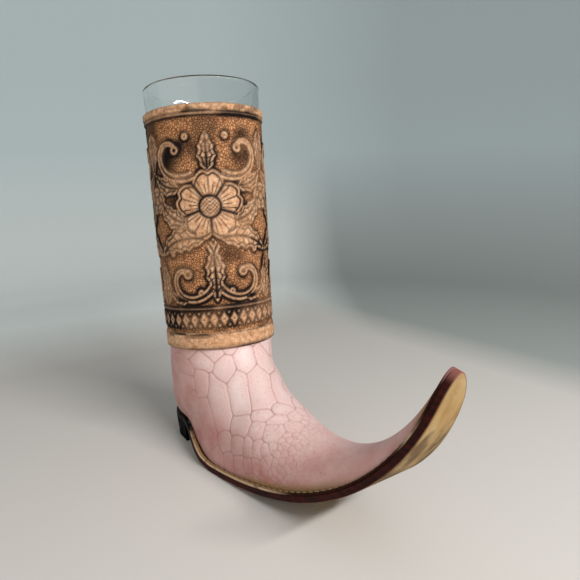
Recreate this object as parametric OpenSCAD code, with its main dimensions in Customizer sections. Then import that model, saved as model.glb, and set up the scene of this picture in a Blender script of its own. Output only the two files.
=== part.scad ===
// Boot shot glass: a small leather boot with a curled toe, whose shaft holds a tall shot glass.
// Millimetres, +X towards the toe, +Z up, origin at the middle of the heel's ground face.

/* [Glass] */
// Outer diameter of the glass at its rim
rim_d = 46; // [40:0.5:56]
// Outer diameter of the glass at its base
glass_base_d = 35.5; // [29:0.5:43]
// Height of the glass
glass_h = 100; // [80:1:125]
// Wall of the glass
glass_wall = 2.2; // [1.5:0.1:3]
// Solid glass under the drink
glass_foot = 14; // [6:0.5:22]
// Radius of the glass's outer bottom edge
glass_edge_r = 1.5; // [0.5:0.1:2.5]
// Radius inside, where the wall meets the bottom
glass_corner_r = 5; // [2:0.5:8]
// Height of glass that stands above the leather
glass_proud = 10; // [4:0.5:20]

/* [Seat of the glass] */
// Floor of the cup that the glass stands in
seat_floor = 2; // [1:0.1:4]
// Wall of that cup
seat_wall = 1.2; // [0.8:0.1:2]
// Depth of that cup
seat_depth = 8; // [4:0.5:10]
// Height of the glass's base above the shaft's lower edge
seat_rise = 1.2; // [0:0.1:4]

/* [Shaft] */
// Thickness of the shaft leather
shaft_t = 1.2; // [0.9:0.1:2]
// Backward lean of the shaft in degrees
lean = 5.5; // [0:0.5:9]
// Height of the shaft's lower edge on its axis
ankle_z = 43; // [35.5:0.5:52]
// Distance from the heel's back to the foot of the shaft's axis on the ground
axis_from_back = 28.5; // [24:0.5:34]
// Width of the plain border at the shaft's top
top_border = 2.8; // [1.5:0.1:5]
// Width of the plain border at the shaft's bottom
bottom_border = 6; // [3:0.1:9]
// Width of the groove that ends a border
groove_w = 0.8; // [0.4:0.1:1.2]
// Depth of that groove
groove_depth = 0.4; // [0.2:0.05:0.6]
// Width of the seam down the shaft's back
seam_w = 0.4; // [0.2:0.05:0.8]

/* [Upper] */
// Thickness of the upper leather
upper_t = 1.2; // [0.8:0.1:1.6]
// Height of the upper's collar inside the shaft
collar_lap = 10; // [6:0.5:14]
// Height of the instep over the start of the toe's curl
instep_h = 41.5; // [34:0.5:50]
// Length along the sole that sets how soon the instep falls away to the toe
instep_fall = 60; // [50:1:72]
// Distance along the sole, from the start of its curl, at which the instep has become the vamp
vamp_u = 24; // [16:1:30]
// Height of the toe
toe_h = 2; // [1.6:0.1:3]
// Length of the rounded end of the upper at the toe
toe_end = 10; // [6:0.5:14]
// Overhang of the upper's sides past its base
side_bulge = 0.8; // [0.2:0.1:1.2]
// Bulge of the heel's back
counter_bulge = 1; // [0:0.1:2]
// Radius of the heel's lower back edge
heel_corner = 3; // [2:0.1:4]
// Width of the upper's turned-in edge under the insole
lasting_margin = 4; // [3:0.1:5]
// Thickness of the insole
insole_t = 1.2; // [0.8:0.1:2]
// Gap between the insole's edge and the upper
insole_gap = 1; // [0.8:0.1:1.5]

/* [Sole] */
// Thickness of the outsole
sole_t = 2.2; // [1.8:0.1:3]
// Thickness of the welt
welt_t = 0.7; // [0.5:0.1:1.2]
// Width of welt that shows beside the upper
flange = 1.8; // [1.2:0.1:3]
// Width of sole that shows beside the upper at the heel
heel_flange = 1.2; // [0.5:0.1:1.8]
// Width across the ball of the foot
ball_w = 43.5; // [36:0.5:53]
// Length from the heel's front to the ball of the foot
shank_len = 20; // [16:0.5:25]
// Length over which the sole falls from the heel to the ground, past the ball
waist_len = 29; // [23:0.5:35]
// Length of the sole at its full width, at the ball
ball_len = 1; // [0.5:0.5:8]
// Length of the curled toe, along the sole
curl_len = 129; // [105:1:156]
// Angle that the sole has turned through at the tip, in degrees
curl_angle = 78; // [62:1:95]
// How late the curl comes: 1 is a plain arc
curl_power = 1.45; // [1.1:0.05:2]
// Width that the sole tapers to at the tip
toe_w = 8; // [6:0.5:12]
// Length of the rounded tip
toe_round = 10; // [6:0.5:20]

/* [Heel] */
// Length of the heel
heel_len = 22.5; // [18:0.5:27]
// Width of the heel
heel_w = 35; // [29:0.5:42]
// Height of the heel with its cap
heel_h = 8.2; // [6.8:0.1:10]
// Thickness of the heel's cap
cap_t = 2; // [1.5:0.1:3]
// How far the heel draws in on each side at its foot
heel_draw = 0.8; // [0:0.1:1.5]

/* [Thread and tacks] */
// Diameter of the thread
thread_d = 0.6; // [0.4:0.05:0.8]
// Pitch of the stitches along the welt
welt_pitch = 3; // [2:0.1:4]
// Length of one stitch along the welt
welt_stitch = 2.2; // [1.5:0.1:3]
// Pitch of the stitches across a back seam
seam_pitch = 4.5; // [3:0.1:6]
// Reach of a back stitch on each side of its seam
seam_reach = 2.2; // [1.5:0.1:3]
// Climb of a back stitch across its seam
seam_climb = 1.5; // [0:0.1:2.5]
// Diameter of a heel tack
tack_d = 1.2; // [0.8:0.1:1.6]
// Diameter of its head
tack_head_d = 2.6; // [2:0.1:3.5]
// Thickness of its head
tack_head_t = 0.6; // [0.4:0.1:0.8]
// Distance of the front tacks from the heel's edges
tack_inset = 6; // [4.5:0.1:8]
// Heel left below a tack's point
tack_cover = 1.5; // [0.8:0.1:2.5]

/* [Fits] */
// Glue line between layers
glue = 0.1; // [0.05:0.05:0.2]
// Clearance round the glass
glass_gap = 0.2; // [0.15:0.05:0.5]
// Clearance round the filler and the seat
core_gap = 0.3; // [0.25:0.05:0.5]

/* [Hidden] */
$fn = 96;
// Sides of a thread
thread_sides = 8;
// Points along each side of a section through the foot
side_steps = 14;
// Steps of the curl's running sum, and sections along it
curl_steps = 120;
curl_sections = 16;
tip_sections = 6;
// Sections round the heel, along the waist, down the heel's back and round its lower edge
heel_sections = 6;
waist_sections = 9;
back_sections = 5;
corner_sections = 3;
// Narrowest edge that a section may end in
edge_min = 0.5;
// Points on a rounded edge
arc_steps = 6;
// Spare length of a cutting shape
over = 1;

// Places along the foot, on the ground
back_x = -heel_len / 2;
breast_x = heel_len / 2;
ball_x = breast_x + shank_len;
curl_x = ball_x + ball_len;
axis_x = back_x + axis_from_back;
heel_round_x = back_x + heel_w / 2;

// Places along the shaft's axis, measured from the ground
ankle_a = ankle_z / cos(lean);
glass_a = ankle_a + seat_rise;
seat_a = glass_a - glass_gap - seat_floor;
shaft_top_a = glass_a + glass_h - glass_proud;
shaft_len = shaft_top_a - ankle_a;
collar_top_a = ankle_a + collar_lap;

// Radii round the shaft's axis
rim_r = rim_d / 2;
seat_r = glass_r(seat_depth) + glass_gap + seat_wall;
collar_r = seat_r + core_gap + upper_t;
shaft_bottom_r = collar_r + glue + shaft_t;
shaft_top_r = glass_r(glass_h - glass_proud) + glass_gap + shaft_t;

// Heights above the sole's lower face
upper_base = sole_t + glue;
welt_top = upper_base + welt_t;
insole_base = upper_base + upper_t + glue;
insole_top = insole_base + insole_t;

// Distances along the sole, from the start of the curl
back_u = back_x - curl_x;
breast_u = breast_x - curl_x;
heel_seat_u = back_u + heel_flange + heel_corner;
insole_back_u = heel_seat_u + upper_t + insole_gap;
upper_tip_u = curl_len - flange;
curl_step = curl_len / curl_steps;

function lerp(a, b, t) = a + (b - a) * t;
function clamp(t) = min(max(t, 0), 1);
function heading(angle) = [cos(angle), sin(angle)];
function smooth(t) = let (c = clamp(t)) c * c * (3 - 2 * c);
// Falls from 1 to 0 along a quarter ellipse as t goes from 0 to 1
function round_end(t) = sqrt(1 - pow(clamp(t), 2));
function arc(centre, r, from, to) = [
    for (i = [0 : arc_steps]) centre + r * heading(lerp(from, to, i / arc_steps))
];

// Outer radius of the glass at a height above its base
function glass_r(y) = lerp(glass_base_d / 2, rim_d / 2, y / glass_h);
// Outer radius of the shaft at a height above its lower edge
function shaft_r(y) = lerp(shaft_bottom_r, shaft_top_r, y / shaft_len);

// Points in the XZ plane: a point on the shaft's axis, and the way forwards from it
function axis_at(a) = [axis_x - a * sin(lean), a * cos(lean)];
forwards = heading(lean);

// Line of the sole's lower face: heel seat, falling waist, tread, then a curl that tightens to the tip
function waist_share(x) = clamp((x - breast_x) / waist_len);
function waist_z(x) = heel_h * (1 - smooth(waist_share(x)));
function waist_slope(x) = let (t = waist_share(x)) -atan(6 * heel_h * t * (1 - t) / waist_len);
function curl_slope(u) = curl_angle * pow(max(u, 0) / curl_len, curl_power);
curl_points = [
    for (i = 0, p = [curl_x, 0]; i <= curl_steps;
        p = p + curl_step * heading(curl_slope((i + 0.5) * curl_step)),
        i = i + 1) p
];
function curl_at(u) = let (k = u / curl_step, i = min(floor(k), curl_steps - 1))
    lerp(curl_points[i], curl_points[i + 1], k - i);
function run_at(u) = u <= 0 ? [curl_x + u, 0] : curl_at(u);
function sole_at(u) = let (p = run_at(u)) p + [0, waist_z(p[0])];
function sole_slope(u) = curl_slope(u) + waist_slope(run_at(u)[0]);
function above(u, h) = sole_at(u) + h * [-sin(sole_slope(u)), cos(sole_slope(u))];

// Half width of the sole, and of the upper's base that stands on it
function heel_half(x) = lerp(heel_w, ball_w, smooth((x - heel_round_x) / (ball_x - heel_round_x))) / 2
    * round_end((heel_round_x - x) * 2 / heel_w);
function toe_half(u) = lerp(ball_w, toe_w, u / curl_len) / 2 * round_end(1 - (curl_len - u) / toe_round);
function sole_half(u) = max(u <= 0 ? heel_half(curl_x + u) : toe_half(u), edge_min);
function flange_at(u) = lerp(heel_flange, flange, smooth((u - back_u) / (breast_u - back_u)));
function upper_half(u) = max(sole_half(u) - flange_at(u), edge_min);

// Distances at which the sole is cut into sections, close together where it rounds
sole_us = concat(
    [for (i = [0 : heel_sections]) back_u + heel_w / 2 * (1 - cos(90 * i / heel_sections))],
    [for (i = [1 : waist_sections]) lerp(heel_round_x - curl_x, 0, i / waist_sections)],
    [for (i = [1 : curl_sections]) (curl_len - toe_round) * i / curl_sections],
    [for (i = [1 : tip_sections]) curl_len - toe_round * (1 - sin(90 * i / tip_sections))]
);

// Height of the upper over the sole: it falls away from the instep, and rounds off at the tip
function fall(u) = exp(-u / instep_fall) - exp(-curl_len / instep_fall);
function foot_h(u) = (toe_h + (instep_h - toe_h) * fall(u) / fall(0))
    * round_end(1 - (curl_len - u) / toe_end);
function ridge_at(u) = above(u, upper_base + foot_h(u));

// One section through the foot: [back or base, front or ridge, half width of base, greatest half width]
function collar_section(a) = let (r = min(collar_r, shaft_r(a - ankle_a) - shaft_t - glue))
    [axis_at(a) - r * forwards, axis_at(a) + r * forwards, edge_min, r];
function curl_half(u) = upper_half(u) + side_bulge * (1 - u / curl_len);
function curl_section(u) = [above(u, upper_base), ridge_at(u), upper_half(u), curl_half(u)];

// Bases of the sections from collar to vamp: down the heel's back, round its edge, along the sole
heel_back = [back_x + heel_flange, heel_h + upper_base];
collar_back = collar_section(ankle_a)[0];
fan_bases = concat(
    [for (i = [0 : back_sections]) let (t = i / back_sections)
        [lerp(collar_back, heel_back + [0, heel_corner], t) - [counter_bulge * sin(180 * t), 0], edge_min]],
    [for (i = [1 : corner_sections]) let (t = i / corner_sections, run = heel_corner * t * t)
        [heel_back + [run, heel_corner * pow(1 - t, 2)], upper_half(back_u + heel_flange + run)]],
    [for (u = sole_us) if (u > heel_seat_u + edge_min && u < vamp_u - edge_min)
        [above(u, upper_base), upper_half(u)]],
    [[above(vamp_u, upper_base), upper_half(vamp_u)]]
);
fan_runs = [
    for (i = 0, run = 0; i < len(fan_bases);
        run = run + (i + 1 < len(fan_bases) ? norm(fan_bases[i + 1][0] - fan_bases[i][0]) : 0),
        i = i + 1) run
];
// The instep's ridge, a cubic curve from the collar's front to the vamp's ridge
instep_start = collar_section(ankle_a)[1];
instep_end = ridge_at(vamp_u);
instep_way = instep_end - ridge_at(vamp_u - over);
instep_reach = norm(instep_end - instep_start) / 3;
instep_points = [
    instep_start,
    instep_start + instep_reach * [sin(lean), -cos(lean)],
    instep_end - instep_reach * instep_way / norm(instep_way),
    instep_end,
];
function instep_at(t) = pow(1 - t, 3) * instep_points[0] + 3 * t * pow(1 - t, 2) * instep_points[1]
    + 3 * t * t * (1 - t) * instep_points[2] + pow(t, 3) * instep_points[3];
fan_sections = [
    for (i = [0 : len(fan_bases) - 1])
        let (t = fan_runs[i] / fan_runs[len(fan_runs) - 1], half = fan_bases[i][1])
        [fan_bases[i][0], instep_at(t), half, max(lerp(collar_r, curl_half(vamp_u), smooth(t)), half)]
];
foot_sections = concat(
    fan_sections,
    [for (u = sole_us) if (u > vamp_u + edge_min && u < upper_tip_u - edge_min) curl_section(u)],
    [curl_section(upper_tip_u)]
);

// A section drawn in by a wall: shorter at both ends and narrower
function drawn_in(s, wall) = let (way = (s[1] - s[0]) / norm(s[1] - s[0])) [
    s[0] + wall * way, s[1] - wall * way, max(s[2] - wall, edge_min), max(s[3] - wall, edge_min)
];
// Sections that still have room inside a wall
function roomy(wall) = [for (s = foot_sections) if (min(norm(s[1] - s[0]) / 2, s[3]) > wall + over / 2) s];

// Outline of a section: an ellipse cut flat at its base, as points from base to ridge and back
function section_ring(s) =
    let (w = s[3], b = s[2], k = 2 * w * w - b * b + 2 * w * sqrt(max(w * w - b * b, 0)))
    let (half = [for (j = [0 : side_steps]) let (v = (1 - cos(180 * j / side_steps)) / 2)
        [lerp(s[0], s[1], v), sqrt((1 - v) * (b * b + k * v))]])
    concat(
        [for (j = [0 : side_steps]) [half[j][0][0], half[j][1], half[j][0][1]]],
        [for (j = [side_steps - 1 : -1 : 0]) [half[j][0][0], -half[j][1], half[j][0][1]]]
    );

// Closed skin over a row of rings that have as many points each
module loft(rings) {
    n = len(rings[0]);
    last = (len(rings) - 1) * n;
    walls = [
        for (i = [0 : n : last - n], j = [0 : n - 1]) let (k = (j + 1) % n)
            each [[i + j, i + n + k, i + k], [i + j, i + n + j, i + n + k]]
    ];
    ends = [[for (j = [0 : n - 1]) j], [for (j = [n - 1 : -1 : 0]) last + j]];
    polyhedron([for (r = rings) each r], concat(walls, ends));
}

// Solid foot, drawn in by a wall all round, from a height on the shaft's axis to the toe
module foot(wall, top_a) {
    sections = concat([collar_section(top_a)], roomy(wall));
    loft([for (s = sections) section_ring(drawn_in(s, wall))]);
}

// Layer that follows the sole between two heights, with a half width for each section
module sole_layer(us, low, high, halves) {
    loft([
        for (i = [0 : len(us) - 1]) let (p = above(us[i], low), q = above(us[i], high), w = halves[i])
            [[p[0], w, p[1]], [q[0], w, q[1]], [q[0], -w, q[1]], [p[0], -w, p[1]]]
    ]);
}

// Places children at a distance along the shaft's axis, standing along it
module on_axis(a) {
    p = axis_at(a);
    translate([p[0], 0, p[1]])
        rotate([0, -lean, 0])
            children();
}

// Straight length of thread between two points
module thread(from, to) {
    way = to - from;
    translate(from)
        rotate([0, acos(way[2] / norm(way)), atan2(way[1], way[0])])
            cylinder(h = norm(way), d = thread_d, $fn = thread_sides);
}

// Outline of the heel, drawn in on every side
module heel_outline(draw) {
    xs = concat(
        [for (i = [0 : heel_sections]) back_x + heel_w / 2 * (1 - cos(90 * i / heel_sections))],
        [breast_x]
    );
    length_share = (heel_len - 2 * draw) / heel_len;
    width_share = (heel_w - 2 * draw) / heel_w;
    halves = [for (x = xs) max(heel_half(x), edge_min)];
    polygon(concat(
        [for (i = [0 : len(xs) - 1]) [xs[i] * length_share, -halves[i] * width_share]],
        [for (i = [len(xs) - 1 : -1 : 0]) [xs[i] * length_share, halves[i] * width_share]]
    ));
}

module tumbler() {
    lip = glass_wall / 2;
    base_r = glass_r(glass_edge_r);
    corner_y = glass_foot + glass_corner_r;
    corner_x = glass_r(corner_y) - glass_wall;
    color("aliceblue", 0.4)
        on_axis(glass_a)
            rotate_extrude()
                polygon(concat(
                    [[0, 0]],
                    arc([base_r - glass_edge_r, glass_edge_r], glass_edge_r, -90, 0),
                    arc([rim_r - lip, glass_h - lip], lip, 0, 180),
                    arc([corner_x - glass_corner_r, corner_y], glass_corner_r, 0, -90),
                    [[0, glass_foot]]
                ));
}

module shaft() {
    top_groove = shaft_len - top_border;
    color("saddlebrown")
        on_axis(ankle_a)
            difference() {
                rotate_extrude()
                    polygon(concat(
                        [[shaft_bottom_r - shaft_t, 0], [shaft_bottom_r, 0]],
                        [for (y = [bottom_border, top_groove]) each [
                            [shaft_r(y - groove_w / 2), y - groove_w / 2],
                            [shaft_r(y) - groove_depth, y],
                            [shaft_r(y + groove_w / 2), y + groove_w / 2],
                        ]],
                        [[shaft_top_r, shaft_len], [shaft_top_r - shaft_t, shaft_len]]
                    ));
                translate([-shaft_top_r - shaft_bottom_r, -seam_w / 2, -over])
                    cube([shaft_top_r + shaft_bottom_r, seam_w, shaft_len + 2 * over]);
            }
}

module shaft_stitches() {
    first = bottom_border + groove_w;
    count = floor((shaft_len - top_border - groove_w - seam_climb - first) / seam_pitch);
    function stitch_end(y, side) = [-sqrt(pow(shaft_r(y), 2) - pow(side, 2)), side, y];
    color("tan")
        on_axis(ankle_a)
            for (i = [0 : count]) {
                y = first + i * seam_pitch;
                thread(stitch_end(y, -seam_reach), stitch_end(y + seam_climb, seam_reach));
            }
}

module foot_upper() {
    window_us = [
        for (u = sole_us) if (u > heel_seat_u + lasting_margin && upper_half(u) > lasting_margin + over) u
    ];
    halves = [for (u = window_us) upper_half(u) - lasting_margin];
    color("pink")
        difference() {
            foot(0, collar_top_a);
            foot(upper_t, collar_top_a + over);
            sole_layer(window_us, sole_t - over, insole_base, halves);
        }
}

module heel_seam_stitches() {
    way = heel_back + [0, heel_corner] - collar_back;
    count = floor((norm(way) - 2 * seam_climb) / seam_pitch) - 1;
    dip = pow(seam_reach, 2) / 2 / collar_r;
    color("rosybrown")
        for (i = [0 : count]) {
            t = ((i + 1) * seam_pitch - seam_climb) / norm(way);
            p = collar_back + way * t - [counter_bulge * sin(180 * t) - dip, 0];
            thread([p[0], -seam_reach, p[1]], [p[0], seam_reach, p[1] - seam_climb]);
        }
}

module glass_seat() {
    floor_r = glass_r(0) + glass_gap;
    color("peru")
        on_axis(seat_a)
            rotate_extrude()
                polygon([
                    [0, 0],
                    [seat_r, 0],
                    [seat_r, seat_floor + seat_depth],
                    [glass_r(seat_depth) + glass_gap, seat_floor + seat_depth],
                    [floor_r, seat_floor],
                    [0, seat_floor],
                ]);
}

module foot_core() {
    floor_us = [for (u = sole_us) if (u < upper_tip_u) u];
    color("burlywood")
        difference() {
            foot(upper_t + core_gap, collar_top_a);
            on_axis(seat_a - glue)
                cylinder(h = collar_lap + seat_depth + seat_floor + over, r = collar_r + over);
            sole_layer(floor_us, -over, insole_top + glue, [for (u = floor_us) sole_half(u) + over]);
        }
}

module insole() {
    wall = upper_t + insole_gap;
    room = 2 * (insole_top - upper_base);
    function fits(u) = foot_h(u) > room && upper_half(u) > wall + over;
    us = concat(
        [insole_back_u],
        [for (u = sole_us) if (u > insole_back_u + over && fits(u)) u]
    );
    halves = [for (u = us) min(upper_half(u), upper_half(u - insole_gap)) - wall];
    color("wheat")
        sole_layer(us, insole_base, insole_top, halves);
}

module welt() {
    us = concat([breast_u], [for (u = sole_us) if (u > breast_u + edge_min) u]);
    color("tan")
        difference() {
            sole_layer(us, upper_base, welt_top, [for (u = us) sole_half(u)]);
            foot(-glue, collar_top_a);
        }
}

module welt_stitches() {
    first = breast_u + welt_pitch;
    count = floor((curl_len - toe_end - first) / welt_pitch);
    function stitch_end(u, side) = let (p = above(u, welt_top))
        [p[0], side * (sole_half(u) - flange / 2), p[1]];
    color("beige")
        for (i = [0 : count], side = [-1, 1]) {
            u = first + i * welt_pitch;
            thread(stitch_end(u, side), stitch_end(u + welt_stitch, side));
        }
}

module outsole() {
    color("maroon")
        sole_layer(sole_us, 0, sole_t, [for (u = sole_us) sole_half(u)]);
}

module heel_block() {
    color("black")
        hull() {
            translate([0, 0, cap_t + glue])
                linear_extrude(glue)
                    heel_outline(heel_draw);
            translate([0, 0, heel_h - 2 * glue])
                linear_extrude(glue)
                    heel_outline(0);
        }
}

module heel_cap() {
    color("black")
        linear_extrude(cap_t)
            heel_outline(heel_draw);
}

module heel_tacks() {
    top_z = heel_h + insole_top;
    point_z = cap_t + glue + tack_cover;
    places = concat(
        [[curl_x + insole_back_u + tack_head_d, 0]],
        [for (side = [-1 : 1]) [breast_x - tack_inset, side * (heel_w / 2 - tack_inset)]]
    );
    color("silver")
        for (p = places) {
            translate([p[0], p[1], point_z])
                cylinder(h = top_z - point_z, d = tack_d);
            translate([p[0], p[1], top_z - tack_head_t])
                cylinder(h = tack_head_t, d = tack_head_d);
        }
}

tumbler();
shaft();
shaft_stitches();
foot_upper();
heel_seam_stitches();
glass_seat();
foot_core();
insole();
welt();
welt_stitches();
outsole();
heel_block();
heel_cap();
heel_tacks();
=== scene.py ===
"""Looks of the boot shot glass, built round its packed construction.

Every surface is worked out on a numpy grid in millimetres, in the construction's own frame (+X to the toe,
+Z up, origin at the middle of the heel's ground face), and put into its mesh in metres.
"""

from __future__ import annotations

import logging
import math
from dataclasses import dataclass, field
from enum import Enum
from functools import cached_property

import bpy
import numpy as np
from mathutils import Matrix

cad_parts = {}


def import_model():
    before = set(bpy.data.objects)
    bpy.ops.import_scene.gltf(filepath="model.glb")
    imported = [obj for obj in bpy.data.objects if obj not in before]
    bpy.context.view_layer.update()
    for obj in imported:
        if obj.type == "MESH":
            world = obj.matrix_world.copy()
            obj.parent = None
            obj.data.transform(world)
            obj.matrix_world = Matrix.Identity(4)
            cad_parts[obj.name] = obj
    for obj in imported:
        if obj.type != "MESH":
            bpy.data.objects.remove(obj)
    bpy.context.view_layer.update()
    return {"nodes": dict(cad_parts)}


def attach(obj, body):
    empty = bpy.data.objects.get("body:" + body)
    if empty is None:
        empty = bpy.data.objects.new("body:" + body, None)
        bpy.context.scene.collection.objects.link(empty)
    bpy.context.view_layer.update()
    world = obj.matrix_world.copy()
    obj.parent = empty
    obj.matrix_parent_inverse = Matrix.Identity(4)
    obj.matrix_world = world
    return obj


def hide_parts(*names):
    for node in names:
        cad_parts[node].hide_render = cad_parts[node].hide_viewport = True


LOG = logging.getLogger("boot_shot_glass")
MM = 0.001
CELL_FACTORS = (374761393, 668265263, 2147483647)
SEED_FACTOR = 974634777
MIX_FACTOR = 1274126177
WORD = 0xFFFFFFFF
LOW_BITS = 0xFFFFFF

Array = np.ndarray
Number = Array | float
Pair = tuple[float, float]
Place = tuple[float, float, float]
Mesh = bpy.types.Mesh
Material = bpy.types.Material
Socket = bpy.types.NodeSocket
Colour = tuple[float, float, float, float]
Value = Socket | float | tuple[float, ...]


class Body(Enum):
    """Bodies that pieces ride on."""

    BOOT = "boot"
    GLASS = "glass"


class Slot(Enum):
    """Material slots of the record, named for the new pieces but not given to them."""

    GLASS = "clear_glass"
    TOOLED = "tooled_leather"
    PINK = "pink_leather"
    WELT = "welt_leather"
    SOLE = "sole_leather"
    HEEL = "black_heel"
    RUBBER = "black_rubber"
    THREAD = "waxed_thread"


def srgb(red: int, green: int, blue: int) -> Colour:
    """Undoes the display's curve: parts from 0 to 255 become the linear colour that a shader takes."""
    shares = [value / 255 for value in (red, green, blue)]
    return (*(s / 12.92 if s <= 0.04045 else ((s + 0.055) / 1.055) ** 2.4 for s in shares), 1.0)


def lerp(first: Number, second: Number, share: Number) -> Array:
    """Goes in a straight line from the first value to the second."""
    return first + (second - first) * share


def smooth(share: Number) -> Array:
    """Rises from 0 to 1 with level ends: three squares less two cubes."""
    held = np.clip(share, 0.0, 1.0)
    return held * held * (3.0 - 2.0 * held)


def round_end(share: Number) -> Array:
    """Falls from 1 to 0 along a quarter ellipse as the share goes from 0 to 1."""
    return np.sqrt(1.0 - np.clip(share, 0.0, 1.0) ** 2)


def ramp(value: Number, start: float, length: float) -> Array:
    """Rises smoothly from 0 at a start to 1 a length further on."""
    return smooth((value - start) / length)


def bell(distance: Array, width: Number) -> Array:
    """Bell curve of a distance: 1 at nothing, a third or so at one width."""
    return np.exp(-((distance / width) ** 2))


def rounded(depth: Array, radius: float) -> Array:
    """Inset of a rounded edge at depths below its face: a quarter circle that ends at its radius."""
    return radius - np.sqrt(radius**2 - np.maximum(radius - depth, 0.0) ** 2)


def stacked(*parts: Number) -> Array:
    """Puts coordinates side by side on a new last axis."""
    return np.stack(np.broadcast_arrays(*parts), axis=-1)


def circle(count: int) -> Array:
    """Angles of a whole turn in even steps."""
    return np.linspace(0.0, 2 * math.pi, count, endpoint=False)


def unit(vectors: Array) -> Array:
    """Vectors along a last axis, each brought to a length of 1."""
    return vectors / np.maximum(np.linalg.norm(vectors, axis=-1, keepdims=True), 1e-9)


def arc(centre: Pair, radius: float, angle: Array) -> Array:
    """Points of a circle at angles round its centre."""
    return np.array(centre) + radius * stacked(np.cos(angle), np.sin(angle))


def summed(steps: Array, axis: int = 0) -> Array:
    """Running sum of steps along an axis, with a nought before the first."""
    first = np.zeros_like(np.take(steps, [0], axis=axis))
    return np.concatenate([first, np.cumsum(steps, axis=axis)], axis=axis)


def lattice(cells: Array, seed: int) -> Array:
    """Gives each whole-number cell a fixed random value from 0 to 1, by mixing its bits.

    Args:
        cells: Whole numbers, with the three directions on the last axis.
        seed: Which of many such fields to give.

    Returns:
        One value for each cell.
    """
    whole = cells.astype(np.int64)
    mixed = sum(whole[..., axis] * factor for axis, factor in enumerate(CELL_FACTORS))
    mixed = (mixed + seed * SEED_FACTOR) & WORD
    mixed = ((mixed ^ (mixed >> 13)) * MIX_FACTOR) & WORD
    return ((mixed ^ (mixed >> 16)) & LOW_BITS) / float(LOW_BITS)


def noise(points: Array, size: float, seed: int) -> Array:
    """Smooth random field from 0 to 1: lattice values blended across each cell.

    Args:
        points: Places in millimetres, three to a place.
        size: Size of one cell in millimetres.
        seed: Which of many such fields to give.

    Returns:
        One value for each place.
    """
    scaled = points / size
    cell = np.floor(scaled)
    part = smooth(scaled - cell)
    total = np.zeros(points.shape[:-1])
    for corner in np.ndindex(2, 2, 2):
        step = np.array(corner)
        weight = np.prod(np.where(step == 1, part, 1.0 - part), axis=-1)
        total += weight * lattice(cell + step, seed)
    return total


def layered_noise(points: Array, size: float, seed: int, layers: int = 3) -> Array:
    """Sum of smooth fields, each half as large and half as strong as the one before, from -1 to 1.

    Args:
        points: Places in millimetres, three to a place.
        size: Size of the largest field's cells in millimetres.
        seed: Which of many such fields to give.
        layers: Number of fields.

    Returns:
        One value for each place.
    """
    total = np.zeros(points.shape[:-1])
    for layer in range(layers):
        total += (2.0 * noise(points, size / 2**layer, seed + layer) - 1.0) / 2**layer
    return total / (2.0 - 2.0 ** (1 - layers))


Shell = tuple[Array, tuple[Array, Array], dict[str, Array]]


@dataclass
class Surface:
    """A grid of points that becomes one closed shell.

    Attributes:
        points: Rows, columns and three coordinates, in millimetres.
        wrap_rows: Whether the last row joins the first.
        wrap_columns: Whether the last column joins the first.
        cap_rows: Whether the first and last rows are closed with a fan of faces.
        cap_columns: Whether the first and last columns are closed so.
        fields: Values that the material reads, one for each point of the grid.
    """

    points: Array
    wrap_rows: bool = False
    wrap_columns: bool = True
    cap_rows: bool = True
    cap_columns: bool = False
    fields: dict[str, Array] = field(default_factory=dict)

    def shell(self) -> Shell:
        """Closes the grid and turns its faces outwards.

        Neighbouring rows and columns make faces of four, and a fan of triangles round its middle closes each
        open ring. The faces are turned over where the volume inside them, a sixth of the sum of their triple
        products, comes out below nothing.

        Returns:
            Points in millimetres, faces of four and of three corners, and the fields at the points.
        """
        flat = self.points.reshape(-1, 3)
        index = np.arange(len(flat)).reshape(self.points.shape[:2])
        rims = [index[0][::-1], index[-1]] if self.cap_rows else []
        rims += [index[:, 0], index[:, -1][::-1]] if self.cap_columns else []
        if self.wrap_rows:
            index = np.vstack([index, index[:1]])
        if self.wrap_columns:
            index = np.hstack([index, index[:, :1]])
        quads = stacked(index[:-1, :-1], index[:-1, 1:], index[1:, 1:], index[1:, :-1]).reshape(-1, 4)
        points = np.vstack([flat, *[flat[ring].mean(axis=0)[None] for ring in rims]])
        fans = [stacked(ring, np.roll(ring, -1), len(flat) + i) for i, ring in enumerate(rims)]
        fans = np.vstack([np.empty((0, 3), dtype=int), *fans])
        a, b, c = points[np.vstack([quads[:, [0, 1, 2]], quads[:, [0, 2, 3]], fans])].transpose(1, 0, 2)
        if np.einsum("ij,ij->i", a, np.cross(b, c)).sum() < 0.0:
            quads, fans = quads[:, ::-1], fans[:, ::-1]
        values = {}
        for label, grid in self.fields.items():
            value = grid.reshape(-1)
            values[label] = np.append(value, [value[ring].mean() for ring in rims])
        return points, (quads, fans), values


def make_mesh(name: str, *surfaces: Surface) -> Mesh:
    """Puts closed surfaces that have the same fields into one mesh.

    Args:
        name: Name of the mesh.
        surfaces: The surfaces, in millimetres.

    Returns:
        The mesh, in metres and smooth, with the fields as attributes of its points.
    """
    shells = [surface.shell() for surface in surfaces]
    places = np.vstack([points for points, _, _ in shells]) * MM
    faces: list[list[int]] = []
    start = 0
    for points, (quads, fans), _ in shells:
        faces += (quads + start).tolist() + (fans + start).tolist()
        start += len(points)
    made = bpy.data.meshes.new(name)
    made.from_pydata(places.tolist(), [], faces)
    made.polygons.foreach_set("use_smooth", np.ones(len(faces), dtype=bool))
    for label in surfaces[0].fields:
        data = np.concatenate([values[label] for _, _, values in shells]).astype(np.float32)
        made.attributes.new(label, "FLOAT", "POINT").data.foreach_set("value", data)
    made.update()
    return made


def grid_normals(points: Array) -> Array:
    """Unit normals of a grid whose columns wrap: the cross product of its two directions of change."""
    across = (np.roll(points, -1, axis=1) - np.roll(points, 1, axis=1)) / 2.0
    return unit(np.cross(np.gradient(points, axis=0), across))


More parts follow.
